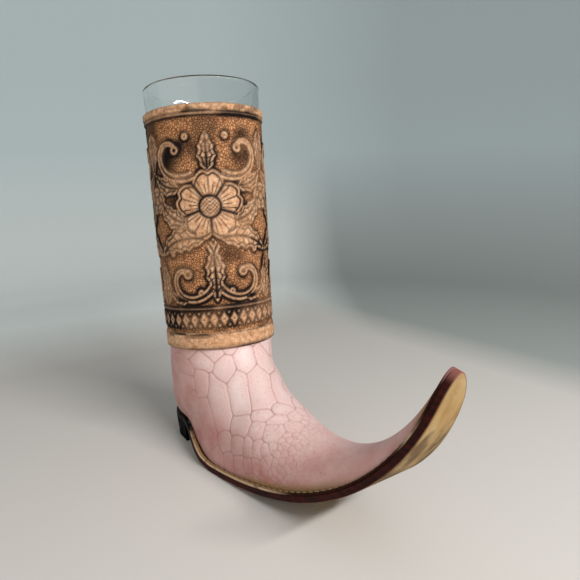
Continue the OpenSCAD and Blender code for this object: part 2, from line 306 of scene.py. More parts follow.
class Graph:
    """A material's node tree, with short ways to add what the finishes share."""

    def __init__(self, name: str) -> None:
        """Starts a material with a principled shader.

        Args:
            name: Name of the material.
        """
        self.material = bpy.data.materials.new(name)
        self.material.use_nodes = True
        self.tree = self.material.node_tree
        self.tree.nodes.clear()
        self.shader = self.node("BsdfPrincipled")
        self.output = self.node("OutputMaterial", Surface=self.shader.outputs["BSDF"])
        self.place = self.node("TexCoord").outputs["Object"]

    def feed(self, socket: Socket, value: Value) -> None:
        """Links a socket to another, or sets its value.

        Args:
            socket: The socket to feed.
            value: A socket to link it to, or what to set.
        """
        if isinstance(value, Socket):
            self.tree.links.new(value, socket)
        else:
            socket.default_value = value

    def fill(self, node: bpy.types.Node, **values: Value) -> bpy.types.Node:
        """Feeds a node's inputs, named with underscores for spaces.

        Args:
            node: The node.
            values: What each named input is linked to or set to.

        Returns:
            The same node.
        """
        for label, value in values.items():
            self.feed(node.inputs[label.replace("_", " ")], value)
        return node

    def node(self, kind: str, **values: Value) -> bpy.types.Node:
        """Adds a node of a kind and feeds its inputs."""
        return self.fill(self.tree.nodes.new(f"ShaderNode{kind}"), **values)

    def shade(self, **values: Value) -> None:
        """Sets or links the shader's sockets."""
        self.fill(self.shader, **values)

    def attribute(self, label: str) -> Socket:
        """Reads the value that the mesh carries under a label.

        Args:
            label: Name of the attribute.

        Returns:
            Its value, as a socket.
        """
        node = self.node("Attribute")
        node.attribute_name = label
        return node.outputs["Fac"]

    def math(self, operation: str, *values: Socket | float) -> Socket:
        """Works out one sum.

        Args:
            operation: Blender's name for the kind of sum.
            values: What goes into it.

        Returns:
            The result, held between 0 and 1.
        """
        node = self.node("Math")
        node.operation = operation
        node.use_clamp = True
        for socket, value in zip(node.inputs, values):
            self.feed(socket, value)
        return node.outputs["Value"]

    def times(self, first: Socket | float, second: Socket | float) -> Socket:
        """Product of two values."""
        return self.math("MULTIPLY", first, second)

    def mix(self, share: Socket | float, first: Socket | Colour, second: Socket | Colour) -> Socket:
        """Goes from one colour to another.

        Args:
            share: How much of the second there is.
            first: Colour at a share of 0.
            second: Colour at a share of 1.

        Returns:
            The colour between them.
        """
        node = self.node("Mix")
        node.data_type = "RGBA"
        for place, value in zip((0, 6, 7), (share, first, second)):
            self.feed(node.inputs[place], value)
        return node.outputs[2]

    def layers(self, colour: Socket | Colour, **coats: Colour) -> Socket:
        """Lays coats of colour over each other, each where the mesh carries an attribute of its name.

        Args:
            colour: Colour below them.
            coats: Colours by attribute, the lowest first.

        Returns:
            The colour on top.
        """
        for label, coat in coats.items():
            colour = self.mix(self.attribute(label), colour, coat)
        return colour

    def stretched(self, shares: Place) -> Socket:
        """Place on the piece, stretched by a share along each direction."""
        return self.node("Mapping", Vector=self.place, Scale=shares).outputs["Vector"]

    def grain(self, size: float, detail: float = 3.0, place: Socket | None = None) -> Socket:
        """Cloudy noise whose lumps have a size in millimetres."""
        node = self.node("TexNoise", Vector=place or self.place, Scale=1.0 / (size * MM), Detail=detail)
        return node.outputs["Fac"]

    def pebbles(self, size: float, feature: str = "F1") -> Socket:
        """Scatters points and measures how near they are.

        Args:
            size: Spacing of the points in millimetres.
            feature: Blender's name for what is measured: to a point, or to the edge between two.

        Returns:
            The distance, in spacings.
        """
        node = self.node("TexVoronoi", Vector=self.place, Scale=1.0 / (size * MM))
        node.feature = feature
        return node.outputs["Distance"]

    def steps(self, share: Socket, *stops: Pair) -> Socket:
        """Follows a line through (share, value) stops.

        Args:
            share: What to look up, from 0 to 1.
            stops: Pairs of a share and the value there.

        Returns:
            The value found, as a socket.
        """
        node = self.node("ValToRGB", Fac=share)
        elements = node.color_ramp.elements
        while len(elements) < len(stops):
            elements.new(0.5)
        for element, (at, value) in zip(elements, stops):
            element.position = at
            element.color = (value, value, value, 1.0)
        return node.outputs["Color"]

    def over(self, share: Socket, span: Pair) -> Socket:
        """Rises in a straight line from 0 to 1 over a span of shares."""
        return self.steps(share, (span[0], 0.0), (span[1], 1.0))

    def bump(self, height: Socket, depth: float, below: Socket | None = None) -> Socket:
        """Normal tilted by a height field.

        Args:
            height: Height from 0 to 1.
            depth: Depth in millimetres that a height of 1 stands for.
            below: A normal to tilt further.

        Returns:
            The tilted normal.
        """
        node = self.node("Bump", Strength=1.0, Distance=depth * MM, Height=height)
        if below is not None:
            self.fill(node, Normal=below)
        return node.outputs["Normal"]


@dataclass(frozen=True)
class ClearGlass:
    """Polished soda glass with faint smears."""

    tint: Colour = (0.985, 0.995, 0.992, 1.0)
    depth_tint: Colour = (0.6, 0.67, 0.66, 1.0)
    depth_density: float = 62.0
    refraction: float = 1.5
    smear_size: float = 9.0

    def material(self) -> Material:
        """Builds the material.

        Returns:
            The material.
        """
        graph = Graph("clear_glass")
        smears = graph.steps(graph.grain(self.smear_size), (0.45, 0.0), (0.75, 0.035))
        graph.shade(Base_Color=self.tint, Transmission_Weight=1.0, IOR=self.refraction, Roughness=smears)
        depth = graph.node("VolumeAbsorption", Color=self.depth_tint, Density=self.depth_density)
        graph.fill(graph.output, Volume=depth.outputs["Volume"])
        return graph.material


@dataclass(frozen=True)
class TooledLeather:
    """Tooled leather, rubbed tan on its raised parts and burnt dark in its cuts."""

    rubbed: Colour = srgb(214, 156, 112)
    rubbed_pale: Colour = srgb(236, 192, 154)
    ground: Colour = srgb(226, 166, 116)
    umber: Colour = srgb(112, 60, 28)
    ground_dark: Colour = srgb(70, 34, 15)
    burnt: Colour = srgb(20, 8, 4)
    pebble_size: float = 1.0
    patch_size: float = 13.0

    def material(self) -> Material:
        """Builds the material from the attributes raised, burn and edge.

        Returns:
            The material.
        """
        graph = Graph("tooled_leather")
        raised = graph.attribute("raised")
        cracks = graph.steps(graph.pebbles(self.pebble_size, "DISTANCE_TO_EDGE"), (0.02, 1.0), (0.2, 0.0))
        patches = graph.over(graph.grain(self.patch_size, 2.0), (0.38, 0.66))
        mottle = graph.over(graph.grain(1.6, 5.0), (0.35, 0.65))
        ground = graph.mix(graph.times(mottle, 0.25), self.ground, self.umber)
        ground = graph.mix(graph.times(cracks, 0.9), ground, self.umber)
        ground = graph.mix(graph.times(patches, 0.25), ground, self.umber)
        rubbed = graph.mix(mottle, self.rubbed, self.rubbed_pale)
        rubbed = graph.mix(graph.times(patches, 0.4), rubbed, self.ground)
        fine = graph.times(graph.math("SUBTRACT", 1.0, mottle), cracks)
        rubbed = graph.mix(graph.times(fine, 0.45), rubbed, self.ground_dark)
        colour = graph.mix(raised, ground, rubbed)
        speckle = graph.steps(graph.grain(0.5, 2.0), (0.60, 0.0), (0.72, 0.5))
        colour = graph.mix(speckle, colour, self.ground_dark)
        colour = graph.layers(colour, burn=self.burnt, edge=self.burnt)
        hollow = graph.steps(raised, (0.0, 1.0), (1.0, 0.25))
        pebbled = graph.times(graph.math("SUBTRACT", 1.0, cracks), hollow)
        normal = graph.bump(pebbled, 0.14)
        normal = graph.bump(graph.grain(0.35, 4.0), 0.05, normal)
        rough = graph.steps(raised, (0.0, 0.72), (1.0, 0.5))
        graph.shade(Base_Color=colour, Roughness=rough, Specular_IOR_Level=0.15, Normal=normal)
        return graph.material


@dataclass(frozen=True)
class ScaledLeather:
    """Pink scale-print leather: paler where rubbed, darker in creases, painted light at the front, painted
    shade low down.
    """

    pale: Colour = srgb(238, 216, 210)
    pink: Colour = srgb(226, 178, 171)
    deep: Colour = srgb(194, 132, 124)
    crease: Colour = srgb(146, 88, 86)
    stain: Colour = srgb(158, 122, 72)
    tip: Colour = srgb(184, 140, 138)
    dye: Colour = srgb(46, 22, 17)
    pore_size: float = 2.1

    def material(self) -> Material:
        """Builds the material from the attributes worn, groove, tone, crackle, stain, dye and tip.

        Returns:
            The material.
        """
        graph = Graph("pink_leather")
        crackle = graph.attribute("crackle")
        cloud = graph.over(graph.grain(7.0, 4.0), (0.36, 0.66))
        # worn and tone also carry painted light along the front and painted shade towards the sole.
        colour = graph.layers(self.deep, worn=self.pink, tone=self.pale)
        colour = graph.mix(graph.times(cloud, 0.28), colour, self.pale)
        fleck = graph.steps(graph.grain(0.9, 3.0), (0.56, 0.0), (0.74, 0.4))
        colour = graph.mix(fleck, colour, self.deep)
        pores = graph.pebbles(self.pore_size)
        holes = graph.times(graph.steps(pores, (0.07, 1.0), (0.15, 0.0)), crackle)
        wrinkle = graph.steps(graph.grain(2.6, 4.0), (0.485, 0.0), (0.5, 1.0), (0.515, 0.0))
        wrinkle = graph.times(graph.times(wrinkle, crackle), 0.34)
        marks = graph.math("MAXIMUM", graph.times(holes, 0.9), wrinkle)
        marks = graph.math("MAXIMUM", marks, graph.attribute("groove"))
        colour = graph.mix(graph.times(marks, 0.66), colour, self.crease)
        colour = graph.layers(colour, stain=self.stain, dye=self.dye, tip=self.tip)
        normal = graph.bump(graph.math("SUBTRACT", 1.0, marks), 0.10)
        normal = graph.bump(graph.grain(0.45, 4.0), 0.035, normal)
        rough = graph.steps(cloud, (0.0, 0.56), (1.0, 0.44))
        graph.shade(Base_Color=colour, Roughness=rough, Specular_IOR_Level=0.4, Normal=normal)
        return graph.material


@dataclass(frozen=True)
class WeltLeather:
    """Raw tan welt: pale on its cut edge, olive where glue and dye have soaked into its top."""

    cut: Colour = srgb(204, 172, 142)
    olive: Colour = srgb(142, 108, 58)
    dyed: Colour = srgb(48, 22, 15)
    tip: Colour = srgb(138, 94, 90)
    black: Colour = srgb(6, 5, 5)

    def material(self) -> Material:
        """Builds the material from the attributes rim, corner, tip and black.

        Returns:
            The material.
        """
        graph = Graph("welt_leather")
        fibres = graph.over(graph.grain(0.7, 5.0), (0.35, 0.65))
        olive = graph.mix(graph.times(fibres, 0.25), self.olive, self.cut)
        colour = graph.layers(olive, rim=self.cut)
        blotch = graph.steps(graph.grain(3.5, 3.0), (0.52, 0.0), (0.7, 0.5))
        colour = graph.mix(blotch, colour, self.dyed)
        # corner makes the welt's inner corner beside the upper, and the welt from the ball towards the tip,
        # dark brown.
        colour = graph.layers(colour, corner=self.dyed, tip=self.tip, black=self.black)
        normal = graph.bump(graph.grain(0.4, 4.0), 0.05)
        graph.shade(Base_Color=colour, Roughness=0.7, Specular_IOR_Level=0.06, Normal=normal)
        return graph.material


@dataclass(frozen=True)
class SoleLeather:
    """Sole leather: natural and scuffed on the tread, red-brown on its layered edge, black at the heel."""

    tread: Colour = srgb(184, 146, 92)
    tread_pale: Colour = srgb(206, 176, 128)
    smudge: Colour = srgb(88, 68, 54)
    dyed: Colour = srgb(76, 25, 19)
    dyed_dark: Colour = srgb(34, 10, 8)
    black: Colour = srgb(6, 5, 5)
    tip: Colour = srgb(152, 98, 86)

    def material(self) -> Material:
        """Builds the material from the attributes side, layer, black, tip and scuff.

        Returns:
            The material.
        """
        graph = Graph("sole_leather")
        long_grain = graph.grain(5.0, 5.0, graph.stretched((0.35, 1.0, 0.35)))
        tread = graph.mix(graph.over(long_grain, (0.35, 0.68)), self.tread, self.tread_pale)
        scuffs = graph.over(graph.grain(8.0, 6.0, graph.stretched((0.6, 1.3, 0.6))), (0.43, 0.58))
        scuffs = graph.times(scuffs, graph.attribute("scuff"))
        tread = graph.mix(graph.times(scuffs, 0.75), tread, self.smudge)
        flecks = graph.steps(graph.grain(0.8, 3.0), (0.6, 0.0), (0.75, 0.4))
        tread = graph.mix(flecks, tread, self.smudge)
        streaks = graph.grain(0.9, 4.0, graph.stretched((0.12, 0.12, 0.9)))
        dyed = graph.mix(graph.over(streaks, (0.38, 0.64)), self.dyed_dark, self.dyed)
        dyed = graph.layers(dyed, layer=self.dyed_dark)
        colour = graph.mix(graph.attribute("side"), tread, dyed)
        colour = graph.layers(colour, black=self.black, tip=self.tip)
        rough = graph.steps(graph.attribute("side"), (0.0, 0.68), (1.0, 0.5))
        normal = graph.bump(graph.grain(0.5, 5.0), 0.06)
        graph.shade(Base_Color=colour, Roughness=rough, Specular_IOR_Level=0.1, Normal=normal)
        return graph.material


@dataclass(frozen=True)
class BlackedHeel:
    """Stacked lifts, blacked and waxed, or the matt rubber of the cap."""

    name: str
    black: Colour = srgb(5, 4, 4)
    worn: Colour = srgb(9, 7, 7)
    roughness: float = 0.55

    def material(self) -> Material:
        """Builds the material from the attribute rubbed.

        Returns:
            The material.
        """
        graph = Graph(self.name)
        fibres = graph.grain(1.1, 5.0, graph.stretched((0.4, 0.4, 1.6)))
        worn = graph.times(graph.over(fibres, (0.45, 0.75)), graph.attribute("rubbed"))
        colour = graph.mix(worn, self.black, self.worn)
        normal = graph.bump(fibres, 0.08)
        rough = graph.steps(fibres, (0.3, self.roughness), (0.7, self.roughness + 0.18))
        graph.shade(Base_Color=colour, Roughness=rough, Specular_IOR_Level=0.05, Normal=normal)
        return graph.material


@dataclass(frozen=True)
class WaxedThread:
    """Twisted waxed thread, with painted shade between its plies."""

    name: str
    light: Colour
    dark: Colour
    black: Colour = srgb(18, 14, 13)

    def material(self) -> Material:
        """Builds the material from the attributes ply and dye.

        Returns:
            The material.
        """
        graph = Graph(self.name)
        fuzz = graph.steps(graph.grain(0.25, 3.0), (0.35, 0.0), (0.7, 0.6))
        # ply paints shade into the grooves between the plies and leaves their crests light.
        colour = graph.mix(fuzz, graph.layers(self.dark, ply=self.light), self.dark)
        colour = graph.layers(colour, dye=self.black)
        graph.shade(Base_Color=colour, Roughness=0.6, Sheen_Weight=0.2, Normal=graph.bump(fuzz, 0.03))
        return graph.material


@dataclass(frozen=True)
class Timber:
    """Wood or board with a grain along one direction."""

    name: str
    pale: Colour
    dark: Colour
    grain_size: float
    along: Place

    def material(self) -> Material:
        """Builds the material.

        Returns:
            The material.
        """
        graph = Graph(self.name)
        lines = graph.grain(self.grain_size, 5.0, graph.stretched(self.along))
        colour = graph.mix(graph.over(lines, (0.35, 0.65)), self.dark, self.pale)
        graph.shade(Base_Color=colour, Roughness=0.65, Normal=graph.bump(lines, 0.05))
        return graph.material


@dataclass(frozen=True)
class TackSteel:
    """Bright drawn steel with fine scratches."""

    steel: Colour = srgb(190, 190, 192)

    def material(self) -> Material:
        """Builds the material.

        Returns:
            The material.
        """
        graph = Graph("tack_steel")
        scratches = graph.grain(0.6, 5.0, graph.stretched((1.0, 1.0, 0.1)))
        rough = graph.steps(scratches, (0.3, 0.22), (0.7, 0.42))
        graph.shade(Base_Color=self.steel, Metallic=1.0, Roughness=rough)
        return graph.material


def add_piece(mesh: Mesh, material: Material, body: Body, slot: Slot, *nodes: str) -> None:
    """Puts a mesh into the scene as a piece that stands for construction nodes.

    Args:
        mesh: The piece's mesh, in place.
        material: Its finish.
        body: The body that it rides on.
        slot: The record's material slot; not used.
        nodes: Construction nodes that it stands for.
    """
    piece = bpy.data.objects.new(mesh.name, mesh)
    bpy.context.scene.collection.objects.link(piece)
    mesh.materials.append(material)
    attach(piece, body.value)
    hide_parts(*nodes)
    LOG.info("%s: %d faces, stands for %s", piece.name, len(mesh.polygons), ", ".join(nodes))


@dataclass(frozen=True)
class Last:
    """Form that the boot is built on: its axis, the line of its sole and its outlines, in millimetres."""

    lean: float = 5.5
    ankle_z: float = 43.0
    axis_from_back: float = 28.5
    heel_len: float = 22.5
    heel_w: float = 35.0
    heel_h: float = 8.2
    heel_flange: float = 1.2
    flange: float = 1.8
    sole_t: float = 2.2
    welt_t: float = 0.7
    glue: float = 0.1
    ball_w: float = 43.5
    shank_len: float = 20.0
    waist_len: float = 29.0
    ball_len: float = 1.0
    curl_len: float = 129.0
    curl_angle: float = 78.0
    curl_power: float = 1.45
    toe_w: float = 8.0
    toe_round: float = 10.0
    curl_steps: int = 1200

    @property
    def back_x(self) -> float:
        """Back of the heel."""
        return -self.heel_len / 2

    @property
    def breast_x(self) -> float:
        """Front of the heel."""
        return self.heel_len / 2

    @property
    def curl_x(self) -> float:
        """Start of the toe's curl."""
        return self.breast_x + self.shank_len + self.ball_len

    @property
    def heel_round_x(self) -> float:
        """Where the heel's round back has reached its full width."""
        return self.back_x + self.heel_w / 2

    @property
    def back_u(self) -> float:
        """Back of the heel, as a distance along the sole from the start of the curl."""
        return self.back_x - self.curl_x

    @property
    def breast_u(self) -> float:
        """Front of the heel, as such a distance."""
        return self.breast_x - self.curl_x

    @property
    def upper_base(self) -> float:
        """Height of the upper's base over the sole's lower face."""
        return self.sole_t + self.glue

    @property
    def welt_top(self) -> float:
        """Height of the welt's top over the sole's lower face."""
        return self.upper_base + self.welt_t

    @property
    def ankle_a(self) -> float:
        """Distance along the axis, from the ground, to the shaft's lower edge."""
        return self.ankle_z / math.cos(math.radians(self.lean))

    @property
    def up(self) -> Array:
        """Direction of the shaft's axis."""
        angle = math.radians(self.lean)
        return np.array([-math.sin(angle), 0.0, math.cos(angle)])

    @property
    def forwards(self) -> Array:
        """Direction forwards, square to the axis."""
        angle = math.radians(self.lean)
        return np.array([math.cos(angle), 0.0, math.sin(angle)])

    def on_axis(self, along: Number) -> Array:
        """Points on the shaft's axis at distances from the ground."""
        foot = np.array([self.back_x + self.axis_from_back, 0.0, 0.0])
        return foot + np.asarray(along)[..., None] * self.up

    def turned(self, radius: Array, along: Array, angle: Array) -> Array:
        """Points round the axis: a radius, a distance along it, and an angle from the front towards +Y."""
        out = np.cos(angle)[..., None] * self.forwards + np.sin(angle)[..., None] * np.array([0.0, 1.0, 0.0])
        return self.on_axis(along) + radius[..., None] * out

    @cached_property
    def curl(self) -> tuple[Array, Array, Array]:
        """Adds up the curl, whose slope grows as a power of the distance: each step adds its cosine and sine.

        Returns:
            Distances along the curl, and their X and Z.
        """
        along = np.linspace(0.0, self.curl_len, self.curl_steps + 1)
        middle = (along[1:] + along[:-1]) / 2
        slope = self.curl_slope(middle)
        step = self.curl_len / self.curl_steps
        return along, self.curl_x + summed(np.cos(slope) * step), summed(np.sin(slope) * step)

    def curl_slope(self, along: Array) -> Array:
        """Slope of the curl alone, in radians: a power of the distance along it."""
        share = np.clip(along / self.curl_len, 0.0, 1.0)
        return math.radians(self.curl_angle) * share**self.curl_power

    def run_x(self, along: Array) -> Array:
        """X of the sole's line at distances along it."""
        distance, curl_x, _ = self.curl
        return np.where(along <= 0.0, self.curl_x + along, np.interp(along, distance, curl_x))

    def slope(self, along: Array) -> Array:
        """Slope of the sole in radians: that of the curl less that of the waist, which falls smoothly."""
        share = np.clip((self.run_x(along) - self.breast_x) / self.waist_len, 0.0, 1.0)
        return self.curl_slope(along) - np.arctan(6.0 * self.heel_h * share * (1.0 - share) / self.waist_len)

    def above(self, along: Array, height: Number) -> Array:
        """Points in the XZ plane at a height square to the sole's lower face.

        The lower face is the height of the curl plus what is left of the waist's fall from the heel.

        Args:
            along: Distances along the sole.
            height: Height over the lower face.

        Returns:
            X and Z on a last axis.
        """
        distance, _, curl_z = self.curl
        x = self.run_x(along)
        left = 1.0 - ramp(x, self.breast_x, self.waist_len)
        z = np.interp(along, distance, curl_z) + self.heel_h * left
        past = np.maximum(along - self.curl_len, 0.0)
        slope = self.slope(along)
        x = x + past * np.cos(slope) - height * np.sin(slope)
        return stacked(x, z + past * np.sin(slope) + height * np.cos(slope))

    def place(self, along: Array, side: Array, height: Number) -> Array:
        """Points at a distance along the sole, to its side, and square above its lower face."""
        flat = self.above(along, height)
        return stacked(flat[..., 0], side, flat[..., 1])

    def sole_half(self, along: Array) -> Array:
        """Half width of the sole: a round heel, a waist that widens to the ball, a taper to the round tip.

        Args:
            along: Distances along the sole.

        Returns:
            Half widths.
        """
        x = self.curl_x + along
        waist = ramp(x, self.heel_round_x, self.curl_x - self.ball_len - self.heel_round_x)
        end = round_end((self.heel_round_x - x) * 2 / self.heel_w)
        heel = lerp(self.heel_w, self.ball_w, waist) / 2 * end
        taper = lerp(self.ball_w, self.toe_w, np.clip(along / self.curl_len, 0.0, 1.0)) / 2
        toe = taper * round_end(1.0 - (self.curl_len - along) / self.toe_round)
        return np.where(along <= 0.0, heel, toe)

    def upper_half(self, along: Array) -> Array:
        """Half width of the upper's base, drawn in from the sole by the flange."""
        share = ramp(along, self.back_u, self.breast_u - self.back_u)
        return np.maximum(self.sole_half(along) - lerp(self.heel_flange, self.flange, share), 0.0)

    def outline(self, start: float, step: float, tip_steps: int) -> Array:
        """Distances along the sole from a start: a step apart, then at even angles round the tip."""
        tip = self.curl_len - self.toe_round * (1.0 - np.sin(np.linspace(0.0, math.pi / 2, tip_steps)))
        return np.concatenate([np.arange(start, self.curl_len - self.toe_round, step), tip])


@dataclass(frozen=True)
class Tumbler:
    """Tall tapered shot glass with a heavy base and a rounded rim."""

    last: Last
    rim_d: float = 46.0
    base_d: float = 35.5
    height: float = 100.0
    wall: float = 2.2
    foot: float = 14.0
    edge_r: float = 1.5
    corner_r: float = 5.0
    seat_rise: float = 1.2
    sides: int = 160
    wall_rows: int = 24
    wall_gap: float = 3.0
    pole_r: float = 0.4

    def outer(self, y: Number) -> Array:
        """Outer radius at a height above the base."""
        return lerp(self.base_d / 2, self.rim_d / 2, np.asarray(y) / self.height)

    def profile(self) -> Array:
        """Section of the glass: straight walls, joined by arcs to the base, to each other and to the bottom.

        Returns:
            Radius and height of each point, from the middle of the base round to the middle of the bottom.
        """
        lip = self.wall / 2
        quarter = np.linspace(-math.pi / 2, 0.0, 8)
        edge_x = float(self.outer(self.edge_r)) - self.edge_r
        corner_y = self.foot + self.corner_r
        corner_x = float(self.outer(corner_y)) - self.wall - self.corner_r
        top = self.height - self.wall_gap
        rising = np.linspace(self.edge_r + self.wall_gap, top, self.wall_rows)
        falling = np.linspace(top, corner_y + self.wall_gap, self.wall_rows)
        return np.vstack(
            [
                [[self.pole_r, 0.0], [edge_x * 0.6, 0.0]],
                arc((edge_x, self.edge_r), self.edge_r, quarter),
                stacked(self.outer(rising), rising),
                arc((self.rim_d / 2 - lip, self.height - lip), lip, np.linspace(0.0, math.pi, 17)),
                stacked(self.outer(falling) - self.wall, falling),
                arc((corner_x, corner_y), self.corner_r, quarter[::-1]),
                [[corner_x * 0.6, self.foot], [self.pole_r, self.foot]],
            ]
        )

    def build(self) -> None:
        """Turns the section round the axis and adds the glass."""
        radius, height = self.profile().T[..., None]
        angle = circle(self.sides)
        along = self.last.ankle_a + self.seat_rise + height
        points = self.last.turned(*np.broadcast_arrays(radius, along, angle))
        mesh = make_mesh("shot_glass", Surface(points))
        add_piece(mesh, ClearGlass().material(), Body.GLASS, Slot.GLASS, "tumbler")


@dataclass(frozen=True)
class Leaf:
    """One tooled leaf: where its stalk starts, its heading in degrees, its size and how far it bends."""

    start: Pair
    heading: float
    length: float
    width: float
    bend: float
    lobes: int
    from_edge: bool = False

    def measure(self, x: Array, y: Array) -> tuple[Array, Array, Array]:
        """Measures places against the leaf, whose midrib is an arc.

        Args:
            x: Places across the panel, from its middle or its edge.
            y: Places up the panel.

        Returns:
            Distance outside the leaf (negative inside), share along the midrib, and distance across it.
        """
        heading = math.radians(self.heading)
        turn = math.radians(self.bend if abs(self.bend) > 1.0 else 1.0)
        reach = self.length / turn
        dx = x - (self.start[0] - reach * math.sin(heading))
        dy = y - (self.start[1] + reach * math.cos(heading))
        first = heading - math.copysign(math.pi / 2, reach)
        angle = (np.arctan2(dy, dx) - first + math.pi) % (2 * math.pi) - math.pi
        share = angle / turn
        held = np.clip(share, 0.0, 1.0)
        across = np.abs(abs(reach) - np.hypot(dx, dy))
        half = self.width * np.sin(math.pi * held**0.75) ** 0.85
        half = half * (1.0 - 0.22 * np.abs(np.cos(math.pi * self.lobes * held)) * (held < 0.93))
        past = np.maximum(np.abs(share - 0.5) - 0.5, 0.0) * self.length
        outside = np.hypot(np.maximum(across - half, 0.0), past)
        inside = np.minimum(across - half, 0.0) * (past == 0.0)
        return outside + inside, held, across


@dataclass(frozen=True)
class Scroll:
    """One tooled scroll, whose radius shrinks at a steady rate as it turns and ends in a knob."""

    centre: Pair
    start: Pair
    rate: float
    turn: float
    thick: float
    thin: float

    def measure(self, x: Array, y: Array) -> Array:
        """Measures places against the scroll, of whose neighbouring turns the nearest counts.

        Args:
            x: Places across the panel, from its middle or its edge.
            y: Places up the panel.

        Returns:
            Distance outside the scroll, negative inside.
        """
        dx = x - self.centre[0]
        dy = y - self.centre[1]
        radius = np.hypot(dx, dy) + 1e-6
        from_x = self.start[0] - self.centre[0]
        from_y = self.start[1] - self.centre[1]
        first = math.hypot(from_x, from_y)
        angle = np.arctan2(dy, dx) - math.atan2(from_y, from_x)
        nearest = np.round((np.log(first / radius) / self.rate - angle) / (2 * math.pi))
        last = first * math.exp(-self.rate * self.turn)
        best = np.full_like(radius, 99.0)
        for other in (-1, 0, 1):
            swept = angle + 2 * math.pi * (nearest + other)
            line = first * np.exp(-self.rate * np.clip(swept, 0.0, self.turn))
            half = lerp(self.thin, self.thick, (line - last) / (first - last))
            gap = np.abs(radius - line) * math.cos(math.atan(self.rate)) - half
            best = np.where((swept > 0.0) & (swept < self.turn), np.minimum(best, gap), best)
        end = math.atan2(from_y, from_x) + self.turn
        knob = np.hypot(dx - last * math.cos(end), dy - last * math.sin(end)) - 1.7 * self.thin
        return np.minimum(best, knob)


@dataclass(frozen=True)
class Blossom:
    """One tooled five-petal flower with veined petals and a seeded heart."""

    centre: Pair
    radius: float
    heart: float
    from_edge: bool = False
    petals: int = 5

    def measure(self, x: Array, y: Array) -> tuple[Array, Array]:
        """Measures places against the flower, whose edge is a cosine of the angle in each petal.

        Args:
            x: Places across the panel, from its middle or its edge.
            y: Places up the panel.

        Returns:
            Distance outside the flower, negative inside, and the depth of its cut lines from 0 to 1.
        """
        dx = x - self.centre[0]
        dy = y - self.centre[1]
        radius = np.hypot(dx, dy)
        wedge = 2 * math.pi / self.petals
        turn = (np.arctan2(dx, dy) + wedge / 2) % wedge - wedge / 2
        notch = 0.09 * bell(turn, 0.10)
        edge = self.radius * (0.70 + 0.30 * np.cos(turn * self.petals / 2) ** 0.7 - notch)
        outside = (radius - edge) * 0.9
        inside = outside < -0.2
        parting = bell((np.abs(turn) - wedge / 2) * radius, 0.8) * (radius > self.heart)
        reach = self.radius * (0.74 + 0.09 * np.cos(turn * 15))
        veins = 0.9 * bell(np.sin(turn * 15), 0.44)
        veins = veins * smooth(radius - self.heart) * smooth((reach - radius) / 1.6)
        seeds = (radius < self.heart) * (0.35 + 0.35 * np.sin(dx * 4.4) * np.sin(dy * 4.4))
        lines = np.maximum.reduce([inside * parting, inside * veins, seeds, bell(radius - self.heart, 0.7)])
        return outside, lines


